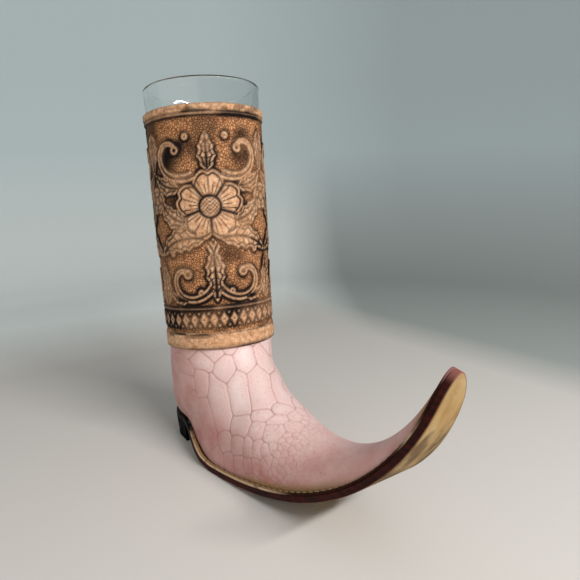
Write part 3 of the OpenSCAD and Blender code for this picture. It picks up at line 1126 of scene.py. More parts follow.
@dataclass(frozen=True)
class Tooling:
    """Tooled ornament of the shaft: mirrored panels of flower, leaf and scroll over a row of lozenges."""

    panel_w: float
    low_band: float = 11.6
    low_band_half: float = 4.3
    field_top: float = 87.6
    lozenges: int = 12
    blossoms: tuple[Blossom, ...] = (
        Blossom((0.0, 54.0), 14.2, 4.1),
        Blossom((0.0, 57.5), 5.6, 1.7, from_edge=True),
    )
    scrolls: tuple[Scroll, ...] = (
        Scroll((12.6, 27.6), (1.2, 41.0), 0.34, 6.3, 2.3, 1.2),
        Scroll((13.8, 74.6), (5.0, 66.0), 0.36, 5.2, 1.9, 1.1),
    )
    leaves: tuple[Leaf, ...] = (
        Leaf((3.0, 42.0), 14, 23.0, 5.2, -58, 5),
        Leaf((9.5, 48.5), 6, 16.0, 4.4, 66, 4),
        Leaf((11.5, 61.5), -4, 14.0, 3.8, 62, 4),
        Leaf((0.0, 37.5), -90, 19.5, 4.3, 0, 5),
        Leaf((12.0, 18.9), 4, 11.0, 2.6, 36, 3),
        Leaf((0.0, 17.2), 90, 17.5, 4.2, 0, 4, from_edge=True),
        Leaf((0.0, 67.0), 90, 14.6, 3.9, 0, 4),
        Leaf((0.0, 82.6), -90, 15.5, 3.6, 0, 4, from_edge=True),
    )
    berries: tuple[tuple[float, float, float], ...] = (
        (6.2, 22.0, 1.5),
        (17.6, 37.2, 1.3),
        (7.4, 79.6, 1.5),
        (17.4, 66.2, 1.1),
    )

    def measure(self, around: Array, y: Array) -> tuple[Array, Array]:
        """Measures places on the flat leather against the whole ornament.

        Args:
            around: Distance round the shaft from the middle of a panel.
            y: Height above the shaft's lower edge.

        Returns:
            Distance outside the raised shapes, negative inside, and the depth of the lines cut in them.
        """
        x = (around + self.panel_w / 2) % self.panel_w - self.panel_w / 2
        middle = np.abs(x)
        edge = self.panel_w / 2 - middle
        shapes = [scroll.measure(middle, y) for scroll in self.scrolls]
        lines = np.zeros_like(x)
        for blossom in self.blossoms:
            outside, cuts = blossom.measure(edge if blossom.from_edge else middle, y)
            shapes.append(outside)
            lines = np.maximum(lines, cuts)
        for leaf in self.leaves:
            outside, along, across = leaf.measure(edge if leaf.from_edge else middle, y)
            shapes.append(outside)
            rib = bell(across, 0.7) * (along > 0.03) * (along < 0.93)
            phase = (along - across * 0.14 / leaf.width) * math.pi * (leaf.lobes + 3)
            lines = np.maximum(lines, (outside < -0.12) * np.maximum(rib, 0.9 * bell(np.sin(phase), 0.42)))
        for berry_x, berry_y, radius in self.berries:
            away = np.hypot(middle - berry_x, y - berry_y)
            shapes.append(away - radius)
            lines = np.maximum(lines, 0.8 * bell(away, radius * 0.25))
        low_edge = self.low_band + self.low_band_half
        in_field = (y > low_edge + 0.6) & (y < self.field_top - 0.6)
        body = np.where(in_field, np.minimum.reduce(shapes), 9.0)
        contour = 0.95 * bell(body + 1.5, 0.48)
        lines = np.maximum(lines, contour) * in_field
        cell = self.panel_w / self.lozenges
        share = (x / cell) % 1.0 - 0.5
        rise = y - self.low_band
        lozenge = (np.abs(share) * 2 + np.abs(rise) / 3.3 - 0.92) * 1.5
        drop = np.hypot((0.5 - np.abs(share)) * cell, np.abs(rise) - 2.4) - 0.62
        in_band = np.abs(rise) < self.low_band_half - 0.1
        body = np.where(in_band, np.minimum(lozenge, drop), body)
        lines = np.where(in_band, 0.9 * bell(np.hypot(share * cell, rise), 0.5), lines)
        rules = np.minimum(np.abs(rise - self.low_band_half), np.abs(y - self.field_top)) - 0.42
        return np.minimum(body, rules), lines


@dataclass(frozen=True)
class Carving:
    """What the tooling has done at each place: distances in millimetres, depths and shares from 0 to 1."""

    flat: Array
    outside: Array
    lines: Array
    plain: Array
    raised: Array
    rule_gap: Array
    rule: Array


@dataclass(frozen=True)
class Shaft:
    """Leather tube round the glass, tooled all over and sewn up the back."""

    last: Last
    bottom_r: float = 22.37
    top_r: float = 23.875
    length: float = 91.2
    thickness: float = 1.2
    top_border: float = 2.8
    bottom_border: float = 6.0
    seam_w: float = 0.4
    round_r: float = 0.4
    relief: float = 0.6
    cut: float = 0.28
    panels: int = 3
    panel_turn: float = -28.0
    columns: int = 400
    rows: int = 238
    inner_rows: int = 8
    inner_burn: float = 0.25
    thread_d: float = 0.6
    seam_pitch: float = 4.5
    seam_reach: float = 2.2
    seam_climb: float = 1.5
    groove_w: float = 0.8

    def radius(self, y: Array) -> Array:
        """Outer radius at a height above the lower edge."""
        return lerp(self.bottom_r, self.top_r, y / self.length)

    @property
    def middle_r(self) -> float:
        """Outer radius half way up."""
        return (self.bottom_r + self.top_r) / 2

    def carve(self, y: Array, turn: Array) -> Carving:
        """Lays the ornament and the border lines on the outside.

        Args:
            y: Heights above the lower edge.
            turn: Angles round the axis, from the front.

        Returns:
            What is raised, cut or plain at each place.
        """
        around = (turn - math.radians(self.panel_turn)) * self.middle_r
        outside, lines = Tooling(2 * math.pi * self.middle_r / self.panels).measure(around, y)
        top = self.length - self.top_border
        plain = np.maximum(ramp(y, top - 0.6, 0.6), 1.0 - ramp(y, self.bottom_border + 0.2, 0.6))
        raised = np.maximum(1.0 - ramp(outside, -0.15, 0.75), plain)
        rule_gap = np.minimum(np.abs(y - top), np.abs(y - self.bottom_border))
        rule = np.minimum(bell(rule_gap, 0.42) + 0.8 * bell(y - top + 1.5, 0.34), 1.0)
        return Carving(stacked(around, y, 0.0), outside, lines, plain, raised, rule_gap, rule)

    def depth(self, carving: Carving) -> Array:
        """Depth below a smooth cone: the sum of ground, cuts, moats, pebbles, lines, waves and rounded ends.

        Args:
            carving: What the tooling has done.

        Returns:
            Depth at each place in millimetres.
        """
        flat = carving.flat
        y = flat[..., 1]
        raised = carving.raised
        inside = np.maximum(-carving.outside, 0.0)
        rise = np.maximum(raised * (0.72 + 0.28 * smooth(inside / 2.2)), carving.plain)
        moat = bell(np.maximum(carving.outside, 0.0) - 0.35, 0.75) * (1.0 - raised)
        pebble = layered_noise(flat, 1.1, 3, 2) * (1.0 - raised)
        depth = self.relief * (1.0 - rise) + self.cut * carving.lines * raised + 0.1 * moat - 0.06 * pebble
        depth = depth + 0.3 * carving.rule * raised
        depth = depth + 0.05 * layered_noise(flat, 14.0, 21) + 0.12 + 0.12 * layered_noise(flat, 34.0, 25, 2)
        return depth + rounded(np.minimum(y, self.length - y), self.round_r)

    def burnt(self, carving: Carving) -> tuple[Array, Array]:
        """Finds where dark dye has stayed: in cuts and pools, round shapes, along lines and at the ends.

        Args:
            carving: What the tooling has done.

        Returns:
            Share of dye on the outside, and along its two ends.
        """
        flat = carving.flat
        y = flat[..., 1]
        ground = 1.0 - carving.raised
        patchy = smooth(0.5 + 1.1 * layered_noise(flat, 11.0, 31))
        shade = bell(np.maximum(carving.outside, 0.0), 1.3) * ground
        contour = bell(carving.outside - 0.2, 0.68) * (1.0 - carving.plain)
        cuts = np.maximum(carving.lines * carving.raised, contour)
        pool = 0.95 * smooth(0.16 + 2.0 * layered_noise(flat, 15.0, 35)) * ground
        burn = np.clip(np.maximum.reduce([shade, pool, cuts]) * lerp(0.7, 1.3, patchy), 0.0, 1.0)
        smear = noise(flat * np.array([0.28, 1.0, 1.0]), 1.7, 37) + 0.35 * layered_noise(flat, 9.0, 39)
        smear = ramp(smear, 0.58, 0.2) * bell(carving.rule_gap - 0.6, 1.3)
        burn = np.maximum(burn, 0.55 * smear) + 0.9 * carving.rule * lerp(0.55, 1.0, patchy)
        edge = lerp(0.5, 1.0, patchy) * bell(y, 1.2) + 0.5 * bell(y - self.length, 0.5)
        rim = 0.55 * ramp(y, self.length - self.top_border, 0.6)
        edge = np.maximum(edge, rim * ramp(noise(flat, 2.6, 43) + 0.4 * patchy, 0.6, 0.3))
        return np.minimum(burn, 1.0), np.minimum(edge, 1.0)

    def build(self) -> None:
        """Adds the shaft: up its tooled outside, and down its plain inside."""
        gap = self.seam_w / 2 / self.middle_r
        angle = np.linspace(-math.pi + gap, math.pi - gap, self.columns)
        y, turn = np.meshgrid(np.linspace(0.0, self.length, self.rows), angle, indexing="ij")
        falling = np.linspace(self.length, 0.0, self.inner_rows)
        inner_y, inner_turn = np.meshgrid(falling, angle, indexing="ij")
        carving = self.carve(y, turn)
        burn, edge = self.burnt(carving)
        radius = np.vstack([self.radius(y) - self.depth(carving), self.radius(inner_y) - self.thickness])
        along = self.last.ankle_a + np.vstack([y, inner_y])
        zero = np.zeros_like(inner_y)
        surface = Surface(
            self.last.turned(radius, along, np.vstack([turn, inner_turn])),
            wrap_rows=True,
            wrap_columns=False,
            cap_rows=False,
            cap_columns=True,
            fields={
                "raised": np.vstack([carving.raised, zero]),
                "burn": np.vstack([burn, zero + self.inner_burn]),
                "edge": np.vstack([edge, zero]),
            },
        )
        mesh = make_mesh("tooled_shaft", surface)
        add_piece(mesh, TooledLeather().material(), Body.BOOT, Slot.TOOLED, "shaft")

    def stitch(self, material: Material) -> None:
        """Adds the slanting stitches across the seam at the back.

        Args:
            material: Finish of the thread.
        """
        first = self.bottom_border + self.groove_w
        room = self.length - self.top_border - self.groove_w - self.seam_climb - first
        y = first + self.seam_pitch * np.arange(int(room // self.seam_pitch) + 1)
        ends = []
        for height, side in ((y, -self.seam_reach), (y + self.seam_climb, self.seam_reach)):
            radius = self.radius(height)
            angle = math.pi - np.arcsin(side / radius)
            ends.append(self.last.turned(radius, self.last.ankle_a + height, angle))
        threads = Threads(self.thread_d, ends[0], ends[1], -self.last.forwards)
        add_piece(threads.mesh("shaft_seam_thread"), material, Body.BOOT, Slot.THREAD, "shaft_stitches")


@dataclass(frozen=True)
class Threads:
    """Short lengths of twisted thread that rise from the leather, bow over it and sink in again."""

    diameter: float
    starts: Array
    ends: Array
    outwards: Array
    dye: Array | None = None
    rings: int = 9
    sides: int = 8
    bow: float = 0.12
    sink: float = 0.5
    twist: float = 9.0

    def mesh(self, name: str) -> Mesh:
        """Sweeps a two-ply section along every stitch at once.

        Args:
            name: Name of the mesh.

        Returns:
            One mesh with every stitch as a closed strand.
        """
        out = np.broadcast_to(self.outwards, self.starts.shape)
        way = unit(self.ends - self.starts)
        across = unit(np.cross(way, out))
        lift = np.cross(across, way)
        share = np.linspace(0.0, 1.0, self.rings)
        from_end = np.abs(2 * share - 1)
        rise = self.bow * (1 - from_end**2) - self.sink * from_end**8
        centre = self.starts[:, None] + (self.ends - self.starts)[:, None] * share[:, None]
        centre = centre + lift[:, None] * rise[:, None]
        angle = circle(self.sides)
        ply = np.cos(2 * (angle[None, :] - self.twist * share[:, None]))
        radius = self.diameter / 2 * (1.0 + 0.12 * ply) * (1.0 - 0.3 * from_end[:, None] ** 6)
        section = across[:, None, None] * np.cos(angle)[:, None]
        section = section + lift[:, None, None] * np.sin(angle)[:, None]
        points = centre[:, :, None] + section * radius[..., None]
        dyes = np.zeros(len(points)) if self.dye is None else self.dye
        # ply, which also swells each ply, paints shade between the plies.
        strands = [
            Surface(strand, fields={"ply": 0.5 + 0.5 * ply, "dye": np.full_like(ply, dye)})
            for strand, dye in zip(points, dyes)
        ]
        return make_mesh(name, *strands)


@dataclass(frozen=True)
class ScalePrint:
    """Scale print of the upper: large plates down the ankle's front that break up into small scales.

    Each place belongs to the plate that is nearest in a measure stretched to the plate's own length and
    width, so plates come out as long or as round as they should, and small ones bow round large ones.

    Attributes:
        plates: Top and bottom of each large plate, three coordinates each, and its width, in millimetres.
        tries: How many places are tried for the smaller scales.
        spacing: Least distance between neighbours, as a share of their size.
        reach: How far off a plate can still count, in millimetres.
        rounding: How far the plates' corners are rounded, in millimetres.
        seed: Which of many layouts to give.
    """

    plates: tuple[tuple[float, ...], ...] = (
        (32.7, -9.2, 41.2, 35.8, -11.9, 32.9, 8.6), (34.6, -0.6, 42.8, 39.9, -4.8, 35.7, 8.3),
        (33.4, 7.3, 41.8, 42.1, 3.5, 34.7, 8.0), (26.8, -15.9, 42.3, 26.6, -16.6, 35.9, 9.5),
        (36.7, -6.9, 36.9, 49.7, -11.8, 24.1, 8.0), (38.5, 1.4, 37.6, 55.9, -6.0, 27.3, 9.8),
        (41.6, 7.6, 33.4, 57.0, 1.4, 28.2, 6.8), (32.2, -13.3, 33.9, 42.9, -16.6, 17.4, 8.6),
        (26.2, -16.8, 35.6, 28.8, -17.7, 25.7, 6.5), (18.8, -20.1, 39.1, 17.9, -20.1, 33.1, 8.5),
        (18.9, -19.9, 32.7, 18.1, -19.7, 25.6, 9.0), (22.1, -18.9, 26.2, 22.4, -18.9, 17.3, 6.5),
        (15.4, -20.0, 24.4, 14.0, -19.4, 18.6, 5.0), (29.0, -17.8, 25.1, 38.9, -18.8, 9.7, 6.2),
        (23.7, -18.8, 17.2, 36.8, -19.4, 4.5, 5.5), (43.4, -16.6, 17.1, 45.8, -17.6, 10.2, 6.6),
        (48.6, -12.2, 24.0, 52.8, -15.1, 18.8, 7.9), (54.7, -7.0, 27.5, 58.0, -9.6, 24.6, 6.8),
        (57.0, 0.1, 28.2, 60.9, -3.0, 26.5, 6.4), (58.4, -9.5, 24.4, 58.8, -13.7, 19.7, 5.6),
        (61.0, -4.7, 26.1, 63.8, -6.6, 24.6, 6.4), (64.2, -6.5, 24.5, 65.4, -10.8, 21.3, 6.8),
        (67.0, -1.5, 25.3, 70.6, -4.4, 24.1, 5.3), (62.6, 2.3, 26.2, 66.9, -1.3, 25.3, 4.6),
        (51.1, -15.1, 17.8, 54.2, -17.0, 12.3, 5.6), (41.5, -18.4, 10.2, 41.6, -18.7, 3.6, 7.0),
        (48.1, -17.2, 10.4, 48.3, -17.7, 4.6, 5.5), (55.0, -17.0, 12.1, 54.3, -17.1, 5.3, 5.0),
        (59.8, -16.2, 13.1, 59.8, -16.6, 7.3, 4.2), (63.4, -15.4, 13.9, 64.3, -15.9, 9.1, 4.0),
        (67.4, -14.6, 14.6, 68.4, -15.3, 10.1, 3.5), (57.1, -14.5, 19.1, 59.8, -16.1, 13.3, 4.6),
        (61.0, -13.3, 19.5, 63.7, -15.2, 14.5, 4.0),
    )
    tries: int = 12000
    spacing: float = 0.84
    reach: float = 17.0
    rounding: float = 0.28
    seed: int = 7

    @staticmethod
    def pull(places: Array, seeds: Array) -> tuple[Array, Array]:
        """Measures places against plates.

        The distance along a plate counts in plate lengths and the distance off its line in plate widths.
        Their squares add up.

        Args:
            places: Places, three coordinates each.
            seeds: Plates: middle, direction, length and width on the last axis.

        Returns:
            Distance of each place from each plate, and the direction and rate of its growth.
        """
        delta = places[:, None] - seeds[:, :3]
        run = np.einsum("ijk,jk->ij", delta, seeds[:, 3:6])
        along = run[..., None] * seeds[:, 3:6]
        force = along / seeds[:, 6:7] ** 2 + (delta - along) / seeds[:, 7:8] ** 2
        away = np.sqrt(np.maximum(np.einsum("ijk,ijk->ij", delta, force), 1e-9))
        return away, force / away[..., None]

    def large(self) -> Array:
        """Lists the large plates, with those of one side mirrored on the other wherever there is room.

        Returns:
            Middle, direction, length and width of each on the last axis.
        """
        listed = np.array(self.plates)
        top = listed[:, :3]
        way = listed[:, 3:6] - top
        length = np.linalg.norm(way, axis=-1, keepdims=True)
        seeds = np.hstack([top + way / 2, way / length, length, listed[:, 6:]])
        other = seeds[seeds[:, 1] < -6.0] * np.array([1, -1, 1, 1, -1, 1, 1, 1])
        room = self.pull(other[:, :3], seeds)[0].min(axis=1) > 0.75
        return np.vstack([seeds, other[room]])

    def seeds(self, points: Array, size: Array) -> Array:
        """Adds smaller scales to the large plates wherever they fit.

        Args:
            points: Grid of the surface.
            size: Width of a scale at each of its points.

        Returns:
            All plates: middle, direction, length and width on the last axis.
        """
        random = np.random.default_rng(self.seed)
        way = np.gradient(points, axis=0)
        across = np.gradient(points, axis=1)
        area = np.linalg.norm(way, axis=-1) * np.linalg.norm(across, axis=-1) / size**2
        picks = random.choice(area.size, self.tries, p=area.ravel() / area.sum())
        way = unit(way.reshape(-1, 3)[picks])
        width = size.reshape(-1)[picks][:, None] * random.uniform(0.85, 1.15, (self.tries, 1))
        length = width * random.uniform(1.0, 1.35, (self.tries, 1))
        tried = np.hstack([points.reshape(-1, 3)[picks], way, length, width])
        large = self.large()
        room = np.vstack([large, tried])
        count = len(large)
        for one in tried:
            close = room[:count]
            close = close[np.abs(close[:, :3] - one[:3]).max(axis=1) < self.reach]
            theirs = self.pull(one[None, :3], close)[0].min(initial=math.inf)
            own = self.pull(close[:, :3], one[None])[0].min(initial=math.inf)
            if min(theirs, own) > self.spacing:
                room[count] = one
                count += 1
        return room[:count]

    def measure(self, points: Array, places: Array, size: Array) -> tuple[Array, Array, Array]:
        """Finds how far each place lies from the border of its plate.

        Args:
            points: Grid of the surface.
            places: The same grid, shifted a little so that borders waver.
            size: Width of a scale at each point.

        Returns:
            Distance to the nearest border in millimetres, a random tone from 0 to 1 for each plate, and the
            mean size of the plates on both sides of the border.
        """
        seeds = self.seeds(points, size)
        tones = np.random.default_rng(self.seed + 1).uniform(0.0, 1.0, len(seeds))
        span = np.sqrt(seeds[:, 6] * seeds[:, 7])
        border = np.empty(places.shape[:2])
        tone = np.empty(places.shape[:2])
        mean = np.empty(places.shape[:2])
        for row, ring in enumerate(places):
            apart = np.linalg.norm(ring[::6, None] - seeds[:, :3], axis=-1).min(axis=0)
            near = np.flatnonzero(apart < self.reach)
            away, rate = self.pull(ring, seeds[near])
            pick = np.arange(len(ring))
            first, second, third = np.argsort(away, axis=1)[:, :3].T
            gaps = [
                (away[pick, other] - away[pick, first])
                / np.maximum(np.linalg.norm(rate[pick, other] - rate[pick, first], axis=-1), 0.02)
                for other in (second, third)
            ]
            near_sum = sum(np.exp(-gap / self.rounding) for gap in gaps)
            border[row] = np.maximum(-self.rounding * np.log(near_sum), 0.0)
            tone[row] = tones[near][first]
            mean[row] = (span[near][first] + span[near][second]) / 2
        LOG.info("scale print: %d plates", len(seeds))
        return border, tone, mean


@dataclass(frozen=True)
class Upper:
    """Pink leather of the foot, drawn over the last from the collar to the curled toe."""

    last: Last
    collar_r: float = 21.07
    thickness: float = 1.2
    collar_lap: float = 10.0
    instep_h: float = 41.5
    instep_fall: float = 60.0
    vamp_u: float = 24.0
    toe_h: float = 2.0
    toe_end: float = 10.0
    side_bulge: float = 0.8
    counter_bulge: float = 1.0
    heel_corner: float = 3.0
    edge_min: float = 0.5
    columns: int = 310
    fan_rows: int = 200
    close_rows: int = 73
    close_len: float = 36.0
    toe_rows: int = 22
    tip_rows: int = 12
    tip_len: float = 10.0
    thread_d: float = 0.6
    seam_pitch: float = 4.5
    seam_reach: float = 2.2
    seam_climb: float = 1.5

    @property
    def tip_u(self) -> float:
        """Distance along the sole at which the upper ends."""
        return self.last.curl_len - self.last.flange

    def rise(self, along: Array) -> Array:
        """Height over the sole, which dies away exponentially from the instep and rounds off at the tip.

        Args:
            along: Distances along the sole.

        Returns:
            Heights in millimetres.
        """
        end = math.exp(-self.last.curl_len / self.instep_fall)
        fall = (np.exp(-along / self.instep_fall) - end) / (1.0 - end)
        tip = round_end(1.0 - (self.last.curl_len - along) / self.toe_end)
        return (self.toe_h + (self.instep_h - self.toe_h) * fall) * tip

    def ridge(self, along: Array) -> Array:
        """Points of the ridge along the curl, in the XZ plane."""
        return self.last.above(along, self.last.upper_base + self.rise(along))

    def widest(self, along: Array) -> Array:
        """Greatest half width along the curl."""
        return self.last.upper_half(along) + self.side_bulge * (1.0 - along / self.last.curl_len)

    @property
    def heel_back(self) -> Array:
        """Lower back corner of the upper, in the XZ plane."""
        return np.array([self.last.back_x + self.last.heel_flange, self.last.heel_h + self.last.upper_base])

    def collar_edge(self, side: float) -> Array:
        """Back or front of the collar at the ankle, in the XZ plane."""
        return (self.last.on_axis(self.last.ankle_a) + side * self.collar_r * self.last.forwards)[[0, 2]]

    def base_path(self) -> tuple[Array, Array]:
        """Bases of the sections from collar to vamp: down the heel's back, round its edge, along the sole.

        Returns:
            Points in the XZ plane, and the half width of the base at each.
        """
        share = np.linspace(0.0, 1.0, 200)
        corner = self.heel_back + np.array([0.0, self.heel_corner])
        back = lerp(self.collar_edge(-1.0), corner, share[:, None])
        back[:, 0] -= self.counter_bulge * np.sin(math.pi * share)
        turn = np.linspace(0.0, 1.0, 40)[1:]
        run = self.heel_corner * turn**2
        bend = self.heel_back + stacked(run, self.heel_corner * (1.0 - turn) ** 2)
        start = self.last.back_u + self.last.heel_flange
        bend_half = self.last.upper_half(start + run)
        back_half = lerp(self.edge_min, float(bend_half[0]), ramp(share, 0.75, 0.25))
        along = np.linspace(start + self.heel_corner, self.vamp_u, 400)[1:]
        sole = self.last.above(along, self.last.upper_base)
        path = np.vstack([back, bend, sole])
        return path, np.concatenate([back_half, bend_half, self.last.upper_half(along)])

    def instep(self, share: Array) -> Array:
        """Ridge from the collar's front to the vamp: a cubic curve that carries on from its neighbours.

        Args:
            share: Shares of the way, from 0 to 1.

        Returns:
            Points in the XZ plane.
        """
        start = self.collar_edge(1.0)
        ends = self.ridge(np.array([self.vamp_u - 1.0, self.vamp_u]))
        arrive = unit(ends[1] - ends[0])
        reach = np.linalg.norm(ends[1] - start)
        down = -self.last.up[[0, 2]]
        controls = np.stack([start, start + 0.2 * reach * down, ends[1] - 0.36 * reach * arrive, ends[1]])
        t = share[:, None]
        weights = ((1 - t) ** 3, 3 * t * (1 - t) ** 2, 3 * t * t * (1 - t), t**3)
        return sum(weight * control for weight, control in zip(weights, controls))

    def sections(self) -> tuple[Array, float]:
        """Sections at even steps from the ankle to the tip, smoothed along the foot.

        Returns:
            X and Z of base and ridge, base half width and greatest half width as columns, and the length of
            the stretch that fans out from the ankle.
        """
        path, half = self.base_path()
        run = summed(np.linalg.norm(np.diff(path, axis=0), axis=-1))
        share = run / run[-1]
        wide = lerp(self.collar_r, float(self.widest(np.array(self.vamp_u))), smooth(share))
        along = np.linspace(self.vamp_u, self.tip_u, 700)[1:]
        base = np.vstack([path, self.last.above(along, self.last.upper_base)])
        ridge = np.vstack([self.instep(share), self.ridge(along)])
        halves = np.concatenate([half, self.last.upper_half(along)])
        widths = np.concatenate([np.maximum(wide, half), self.widest(along)])
        place = np.concatenate([run, run[-1] + along - self.vamp_u])
        even = np.linspace(0.0, place[-1], 1601)
        stack = np.column_stack([base, ridge, halves, widths])
        stack = np.column_stack([np.interp(even, place, column) for column in stack.T])
        from_end = np.minimum(even, even[-1] - even)
        step = even[1] - even[0]
        close = lerp(stack, self.evened(stack, 2.2, step), smooth(from_end / 6.0)[:, None])
        broad = lerp(close, self.evened(close, 8.0, step), smooth(from_end / 24.0)[:, None])
        half = lerp(close[:, 4], broad[:, 4], ramp(even, 46.0, 12.0))
        return np.column_stack([close[:, :2], broad[:, 2:4], half, broad[:, 5]]), float(run[-1])

    @staticmethod
    def evened(stack: Array, width: float, step: float) -> Array:
        """Columns averaged along the foot under a bell curve.

        Args:
            stack: Values at even steps, one column each.
            width: Width of the bell in millimetres.
            step: Length of one step.

        Returns:
            The averaged columns, as long as before.
        """
        reach = int(2.4 * width / step)
        kernel = bell(np.arange(-reach, reach + 1) * step, width)
        padded = np.pad(stack, ((reach, reach), (0, 0)), mode="edge")
        return np.column_stack([np.convolve(column, kernel / kernel.sum(), "valid") for column in padded.T])

    def rows(self, fan: float, total: float) -> Array:
        """Places of the grid's rows: close over the plates, wide along the toe, close again round the tip.

        Args:
            fan: Length of the stretch that fans out from the ankle.
            total: Length of the whole.

        Returns:
            Growing distances from the ankle to the tip.
        """
        plain = fan + self.close_len
        tip = total - self.tip_len
        stretches = [
            np.linspace(0.0, fan, self.fan_rows),
            np.linspace(fan, plain, self.close_rows)[1:],
            np.linspace(plain, tip, self.toe_rows)[1:],
            tip + np.sin(np.linspace(0.0, math.pi / 2, self.tip_rows))[1:] * self.tip_len,
        ]
        return np.concatenate(stretches)

    def rings(self) -> Array:
        """Points of the outside: for each row a ring from the base's left, over the ridge, to its right.

        The square of a ring's half width is a square function of the rise, which meets the base's half width,
        the greatest half width and nothing at the ridge.

        Returns:
            Rows, columns and three coordinates.
        """
        stack, fan = self.sections()
        total = fan + self.tip_u - self.vamp_u
        at = self.rows(fan, total)
        even = np.linspace(0.0, total, len(stack))
        stack = np.column_stack([np.interp(at, even, column) for column in stack.T])
        turn = np.linspace(0.0, 2 * math.pi, self.columns)
        rise = (1.0 - np.cos(turn)) / 2
        b = stack[:, 4:5]
        w = np.maximum(stack[:, 5:6], b)
        swell = 2 * w**2 - b**2 + 2 * w * np.sqrt(np.maximum(w**2 - b**2, 0.0))
        side = np.sqrt(np.maximum((1.0 - rise) * (b**2 + swell * rise), 0.0))
        side = np.where(turn <= math.pi, side, -side)
        spine = lerp(stack[:, None, 0:2], stack[:, None, 2:4], rise[:, None])
        return stacked(spine[..., 0], side, spine[..., 1])

    def collar(self, radius: float, heights: Array) -> Array:
        """Round rings of the collar at distances along the axis, with as many points as the rest."""
        turn = np.linspace(0.0, 2 * math.pi, self.columns)
        return self.last.turned(*np.broadcast_arrays(radius, heights[:, None], math.pi - turn))

    def build(self) -> None:
        """Works out the printed outside and the lined collar, and adds the upper."""
        rings = self.rings()
        ankle = self.last.ankle_a
        top = ankle + self.collar_lap
        collar = self.collar(self.collar_r, np.linspace(top, ankle, 13)[:-1])
        outside = np.vstack([collar, rings])
        normal = grid_normals(outside)
        centre = outside.mean(axis=1, keepdims=True)
        facing = np.einsum("ijk,ijk->ij", normal, outside - centre).mean()
        normal = normal * math.copysign(1.0, facing)
        fields, depth = self.print_scales(outside, len(collar))
        outside = outside - normal * depth[..., None]
        lining = self.collar(self.collar_r - self.thickness, np.array([ankle - 2.0, ankle, top - 0.2]))
        points = np.vstack([lining, outside])
        plain = np.zeros(lining.shape[:2])
        fields = {label: np.vstack([plain, values]) for label, values in fields.items()}
        mesh = make_mesh("scaled_upper", Surface(points, fields=fields))
        add_piece(mesh, ScaledLeather().material(), Body.BOOT, Slot.PINK, "foot_upper")

    def print_scales(self, points: Array, collar_rows: int) -> tuple[dict[str, Array], Array]:
        """Lays the scale print on the outside.

        Args:
            points: Grid of the outside, from the collar's top to the tip.
            collar_rows: Rows that lie inside the shaft.

        Returns:
            Fields for the material, and the depth of the print at each point in millimetres.
        """
        ridge = self.columns // 2
        steps = np.linalg.norm(np.diff(points, axis=1), axis=-1)
        around = summed(steps, 1)
        across = around - around[:, ridge : ridge + 1]
        from_base = np.minimum(around, around[:, -1:] - around)
        runs = np.linalg.norm(np.diff(points, axis=0), axis=-1)
        along = summed(runs)
        along = along - along[collar_rows + self.fan_rows - 1]
        shift = stacked(
            *(
                0.55 * layered_noise(points, 4.5, 41 + axis) + 0.13 * layered_noise(points, 1.1, 51 + axis, 2)
                for axis in range(3)
            )
        )
        size = lerp(7.0, 2.2, ramp(along, -10.0, 28.0))
        border, tone, mean = ScalePrint().measure(points, points + shift, size)
        big = ramp(mean, 3.0, 5.0)
        fade = 1.0 - ramp(along, 10.0, 30.0)
        hidden = 1.0 - 0.6 * ramp(np.abs(across), 18.0, 14.0) * (1.0 - ramp(along, -24.0, 16.0))
        strength = lerp(0.6, 1.0, big) * fade * hidden * lerp(0.6, 1.0, noise(points, 6.0, 61))
        groove = bell(border, lerp(0.16, 0.2, big)) * strength
        dome = (1.0 - np.exp(-border / 1.5)) * strength
        depth = 0.15 * groove - 0.14 * dome + 0.04 * layered_noise(points, 9.0, 67)
        crackle = ramp(along, -8.0, 14.0) * (1.0 - ramp(along, 30.0, 36.0))
        # front and low paint light and shade into worn: it rises along the front, where the light falls, and
        # drops towards the sole, where shade falls, on top of its random wear.
        front = 1.0 - ramp(np.abs(across), 10.0, 22.0)
        low = 1.0 - smooth(from_base / 25.0)
        worn = np.clip(0.38 + 0.6 * front - 0.6 * low + 0.25 * layered_noise(points, 12.0, 71), 0.0, 1.0)
        # pale is partly painted light: large plate middles and the upper part along the front are paler where
        # the light falls, mixed with each plate's random tone.
        pale = np.clip(big * front * (0.5 + 0.5 * tone) * (1.0 - np.exp(-border / 1.6)), 0.0, 1.0)
        pale = np.maximum(pale, 0.45 * front * (1.0 - low) * (1.0 - ramp(along, 10.0, 30.0)))
        stain = 0.9 * (1.0 - ramp(from_base, 0.8, 3.6)) * ramp(along, -6.0, 14.0)
        stain = stain * (1.0 - ramp(along, 40.0, 18.0))
        stain = np.maximum(stain, 0.85 * ramp(along, 78.0, 5.0))
        dye = ramp(along, 86.0, 5.0)
        tip = ramp(along, along.max() - 6.0, 5.0)
        fields = {
            "groove": groove, "tone": 0.9 * pale, "worn": worn, "crackle": crackle,
            "stain": stain, "dye": dye, "tip": tip,
        }
        return fields, depth

    def stitch(self, material: Material) -> None:
        """Adds the slanting stitches of the seam down the heel.

        Args:
            material: Finish of the thread.
        """
        corner = self.heel_back + np.array([0.0, self.heel_corner])
        start = self.collar_edge(-1.0)
        length = float(np.linalg.norm(corner - start))
        count = int((length - 2 * self.seam_climb) // self.seam_pitch)
        share = ((np.arange(count) + 1) * self.seam_pitch - self.seam_climb) / length
        dip = self.seam_reach**2 / 2 / self.collar_r
        middle = lerp(start, corner, share[:, None])
        x = middle[:, 0] - self.counter_bulge * np.sin(math.pi * share) + dip
        left = stacked(x, -self.seam_reach, middle[:, 1])
        right = stacked(x, self.seam_reach, middle[:, 1] - self.seam_climb)
        threads = Threads(self.thread_d, left, right, np.array([-1.0, 0.0, 0.0]))
        add_piece(threads.mesh("heel_seam_thread"), material, Body.BOOT, Slot.THREAD, "heel_seam_stitches")


